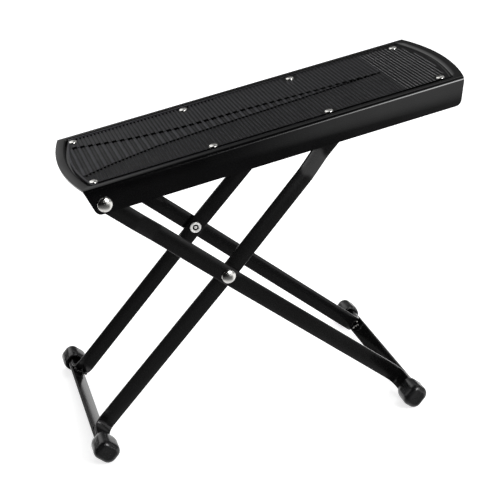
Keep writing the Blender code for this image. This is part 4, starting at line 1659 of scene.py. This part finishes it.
def mirrored_level(graph: Graph) -> Socket:
    """Sets how bright mirrors show each heading.

    The ground is dark in front and bright behind, below and to the right. Above it are a bright
    left back, a bright ledge and strip to the right, and a dark far left.

    Args:
        graph: the world's nodes.

    Returns:
        The level at every heading.
    """
    heading = graph.add("SeparateXYZ", {"Vector": graph.add("TexCoord")["Generated"]})
    at = {
        name: graph.ramp(heading[axis], span, levels)
        for name, (axis, span, levels) in MIRROR_STEPS.items()
    }
    blend, product, fixed = graph.blend, graph.product, MIRROR_LEVELS
    ground = blend(at["to_far_ground"], at["near_ground"], at["far_ground"])
    ground = blend(at["to_below"], ground, fixed["below"])
    ground = blend(at["to_right_ground"], ground, fixed["right"])
    ground = blend(at["to_back_ground"], ground, fixed["behind"])
    ledge = product(product(at["ledge_rise"], at["ledge_fall"]), at["ledge_side"])
    back = blend(at["to_high_back"], at["low_back"], at["high_back"])
    back = blend(ledge, back, fixed["ledge"])
    front = blend(at["to_strip"], at["lit_front"], product(at["lit_front"], at["strip"]))
    front = product(product(front, at["strip_top"]), at["right_bound"])
    front = blend(at["to_front"], fixed["front"], front)
    sky = blend(at["to_back"], front, back)
    sky = product(sky, blend(at["past_left"], at["dim_left"], 1.0))
    return blend(at["over_horizon"], ground, sky)


@dataclass(frozen=True)
class Panel:
    """A soft panel lamp that aims at the footrest and doesn't show in mirrors.

    Args:
        name: the lamp's name.
        place: its middle.
        size: its width and height.
        power: its power in watts.
    """

    name: str
    place: tuple[float, float, float]
    size: Point2
    power: float

    def build(self) -> None:
        """Adds the lamp."""
        data = bpy.data.lights.new(self.name, "AREA")
        data.shape = "RECTANGLE"
        data.size, data.size_y = self.size
        data.energy = self.power
        lamp = bpy.data.objects.new(self.name, data)
        bpy.context.scene.collection.objects.link(lamp)
        place = Vector(self.place)
        turn = (Vector((0, 0, 0.1)) - place).to_track_quat("-Z", "Y").to_matrix().to_4x4()
        lamp.matrix_world = Matrix.Translation(place) @ turn
        lamp.visible_camera = False
        lamp.visible_glossy = False


@dataclass
class Studio:
    """A pale floor, soft panels, the world and the camera.

    Args:
        eye: the camera's place.
        azimuth: its heading in degrees, from +Y towards +X.
        elevation: how far it looks down, in degrees.
        roll: its roll in degrees.
        lens: its focal length on a 36 mm sensor.
        panels: the lamps.
        floor_size: half the floor's side.
        floor_drop: how far it lies under the feet.
        floor_color: its grey.
        floor_glow: its own light.
        soft_light: the strength of the world's light on matt surfaces.
    """

    eye: tuple[float, float, float] = (-0.22013, -0.73338, 0.45560)
    azimuth: float = 16.375
    elevation: float = 24.489
    roll: float = -1.455
    lens: float = 86.083
    panels: tuple[Panel, ...] = (
        Panel("key_panel", (1.0, -0.9, 1.1), (1.0, 0.8), 14.0),
        Panel("top_panel", (0.3, 0.4, 1.4), (1.2, 1.0), 9.0),
    )
    floor_size: float = 4.0
    floor_drop: float = 0.0002
    floor_color: Color = (0.85, 0.85, 0.85)
    floor_glow: float = 0.72
    soft_light: float = 0.35

    def build_camera(self) -> None:
        """Places the camera."""
        azimuth, elevation = math.radians(self.azimuth), math.radians(self.elevation)
        level = math.cos(elevation)
        ahead = Vector((math.sin(azimuth) * level, math.cos(azimuth) * level, -math.sin(elevation)))
        right = Vector((math.cos(azimuth), -math.sin(azimuth), 0))
        up = right.cross(ahead)
        turn = Matrix.Rotation(-math.radians(self.roll), 3, ahead)
        basis = Matrix((turn @ right, turn @ up, -ahead)).transposed().to_4x4()
        data = bpy.data.cameras.new("camera")
        data.lens = self.lens
        data.sensor_width = 36
        data.clip_start = 0.01
        camera = bpy.data.objects.new("camera", data)
        bpy.context.scene.collection.objects.link(camera)
        camera.matrix_world = Matrix.Translation(self.eye) @ basis
        bpy.context.scene.camera = camera

    def floor_material(self) -> bpy.types.Material:
        """White paper that takes a soft contact shadow.

        Returns:
            The material.
        """
        material = bpy.data.materials.new("paper_floor")
        material.use_nodes = True
        graph = Graph(material.node_tree)
        graph.tree.nodes.clear()
        diffuse = graph.add("BsdfDiffuse", {"Color": (*self.floor_color, 1)})[0]
        glow = graph.add("Emission", {"Strength": self.floor_glow})[0]
        graph.add("OutputMaterial", {"Surface": graph.add("AddShader", {0: diffuse, 1: glow})[0]})
        return material

    def build_floor(self) -> None:
        """Lays the floor, which mirrors leave to the world's lower half."""
        shape = bmesh.new()
        bmesh.ops.create_grid(shape, x_segments=1, y_segments=1, size=self.floor_size)
        mesh = bpy.data.meshes.new("paper_floor")
        shape.to_mesh(mesh)
        shape.free()
        floor = new_object("paper_floor", mesh)
        floor.location.z = -self.floor_drop
        floor.visible_glossy = False
        mesh.materials.append(self.floor_material())

    def build_world(self) -> None:
        """White to the camera, soft grey light, and the mirrored room to glossy rays."""
        world = bpy.data.worlds.new("studio_world")
        bpy.context.scene.world = world
        world.use_nodes = True
        graph = Graph(world.node_tree)
        graph.tree.nodes.clear()
        path = graph.add("LightPath")
        white = graph.add("Background", {"Color": (1, 1, 1, 1)})[0]
        soft = graph.add("Background", {"Strength": self.soft_light})[0]
        mirrored = graph.add("Background", {"Strength": mirrored_level(graph)})[0]
        gloss = graph.add("MixShader", {"Fac": path["Is Glossy Ray"], 1: soft, 2: mirrored})[0]
        seen = graph.add("MixShader", {"Fac": path["Is Camera Ray"], 1: gloss, 2: white})[0]
        graph.add("OutputWorld", {"Surface": seen})

    def build(self) -> None:
        """Builds the stage."""
        self.build_floor()
        self.build_world()
        for panel in self.panels:
            panel.build()
        self.build_camera()
        bpy.context.scene.view_settings.view_transform = "Standard"


@dataclass
class Legs:
    """The two strap frames and their four caps, with the sizes of the CAD legs.

    Args:
        link: the linkage at rest.
        foot_runs: from the crossing to the outer and the inner feet.
        seat: from a foot's middle to the middle of the strap on either side of it.
        bar_reaches: half the length of the outer and the inner bar.
        tip: how far a leg's round end lies past its upper axis.
        straight: half the straight run of an outer or inner leg at the crossing.
        seam_setback: how far inside the middle of a leg's tab its weld lies.
    """

    link: Linkage
    foot_runs: Point2 = (0.16385, 0.13945)
    seat: float = 0.00115
    bar_reaches: Point2 = (0.0685, 0.066)
    tip: float = 0.006
    straight: float = 0.008
    seam_setback: float = 0.0005

    def outer(self) -> StrapFrame:
        """The outer frame, which joggles inwards below the platform's pivot.

        Returns:
            The frame.
        """
        half_strap = STRAP_THICKNESS / 2
        at_pivot, at_crossing = 0.0477 - half_strap, 0.0461 - half_strap
        joggle_start, joggle_end = 0.027, 0.042
        bend, tab_end = 0.041 - half_strap, 0.067
        pivot = -(Vector(self.link.pivot) - Vector(self.link.crossing)).length
        tab = self.foot_runs[0] - self.seat
        corners = (
            (pivot - self.tip, at_pivot),
            (pivot + joggle_start, at_pivot),
            (pivot + joggle_end, at_crossing),
            (self.straight, at_crossing),
            (tab, bend),
            (tab, tab_end),
        )
        return StrapFrame(
            "outer",
            self.link.outer,
            corners,
            radii=(0, 0.03, 0.03, 0.05, 0.008, 0),
            bar_place=self.foot_runs[0] + self.seat,
            bar_reach=self.bar_reaches[0],
            seam=(tab - self.seam_setback, 0.0396),
            bead=Bead(WELD_GLINT, lumps=5, run=0.0056, size=0.0007),
        )

    def inner(self) -> StrapFrame:
        """The inner frame, which joggles inwards below the rod.

        Returns:
            The frame.
        """
        half_strap = STRAP_THICKNESS / 2
        at_crossing = 0.0429
        joggle_start, joggle_end, joggle_foot = 0.025, 0.042, 0.0020
        bend, tab_end = 0.0414 - half_strap, 0.0645
        rod = (Vector(self.link.rod) - Vector(self.link.crossing)).length
        tab = -(self.foot_runs[1] - self.seat)
        at_rod = at_crossing - INNER_JOGGLE - half_strap
        corners = (
            (rod + self.tip, at_rod),
            (rod - joggle_start, at_rod),
            (rod - joggle_end, at_crossing - joggle_foot - half_strap),
            (self.straight, at_crossing - half_strap),
            (-self.straight, at_crossing - half_strap),
            (tab, bend),
            (tab, tab_end),
        )
        return StrapFrame(
            "inner",
            self.link.inner,
            corners,
            radii=(0, 0.03, 0.03, 0.05, 0.05, 0.008, 0),
            bar_place=-(self.foot_runs[1] + self.seat),
            bar_reach=self.bar_reaches[1],
            seam=(tab + self.seam_setback, 0.0400),
            bead=Bead(WELD_PAINT, lumps=9, run=0.0098, size=0.0009),
        )

    def build_caps(self) -> None:
        """Builds the rubber caps on both bars."""
        for frame in (self.outer(), self.inner()):
            upright = frame.placing.to_3x3() @ Vector((0, 0, 1))
            for side in Side:
                node = f"{frame.name}_foot_cap_{side.word}"
                low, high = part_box(node)
                centre = ((low.x + high.x) / 2, (low.z + high.z) / 2)
                FootCap(node, frame.body, centre, frame.bar_reach, side, upright).build()


def main() -> None:
    logging.basicConfig(level=logging.INFO, format="%(name)s: %(message)s")
    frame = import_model()
    link = Linkage.from_frame(frame)
    legs = Legs(link)
    Platform(link).build()
    legs.outer().build()
    legs.inner().build()
    Hardware(link).build()
    legs.build_caps()
    Studio().build()


if __name__ == "__main__":
    main()
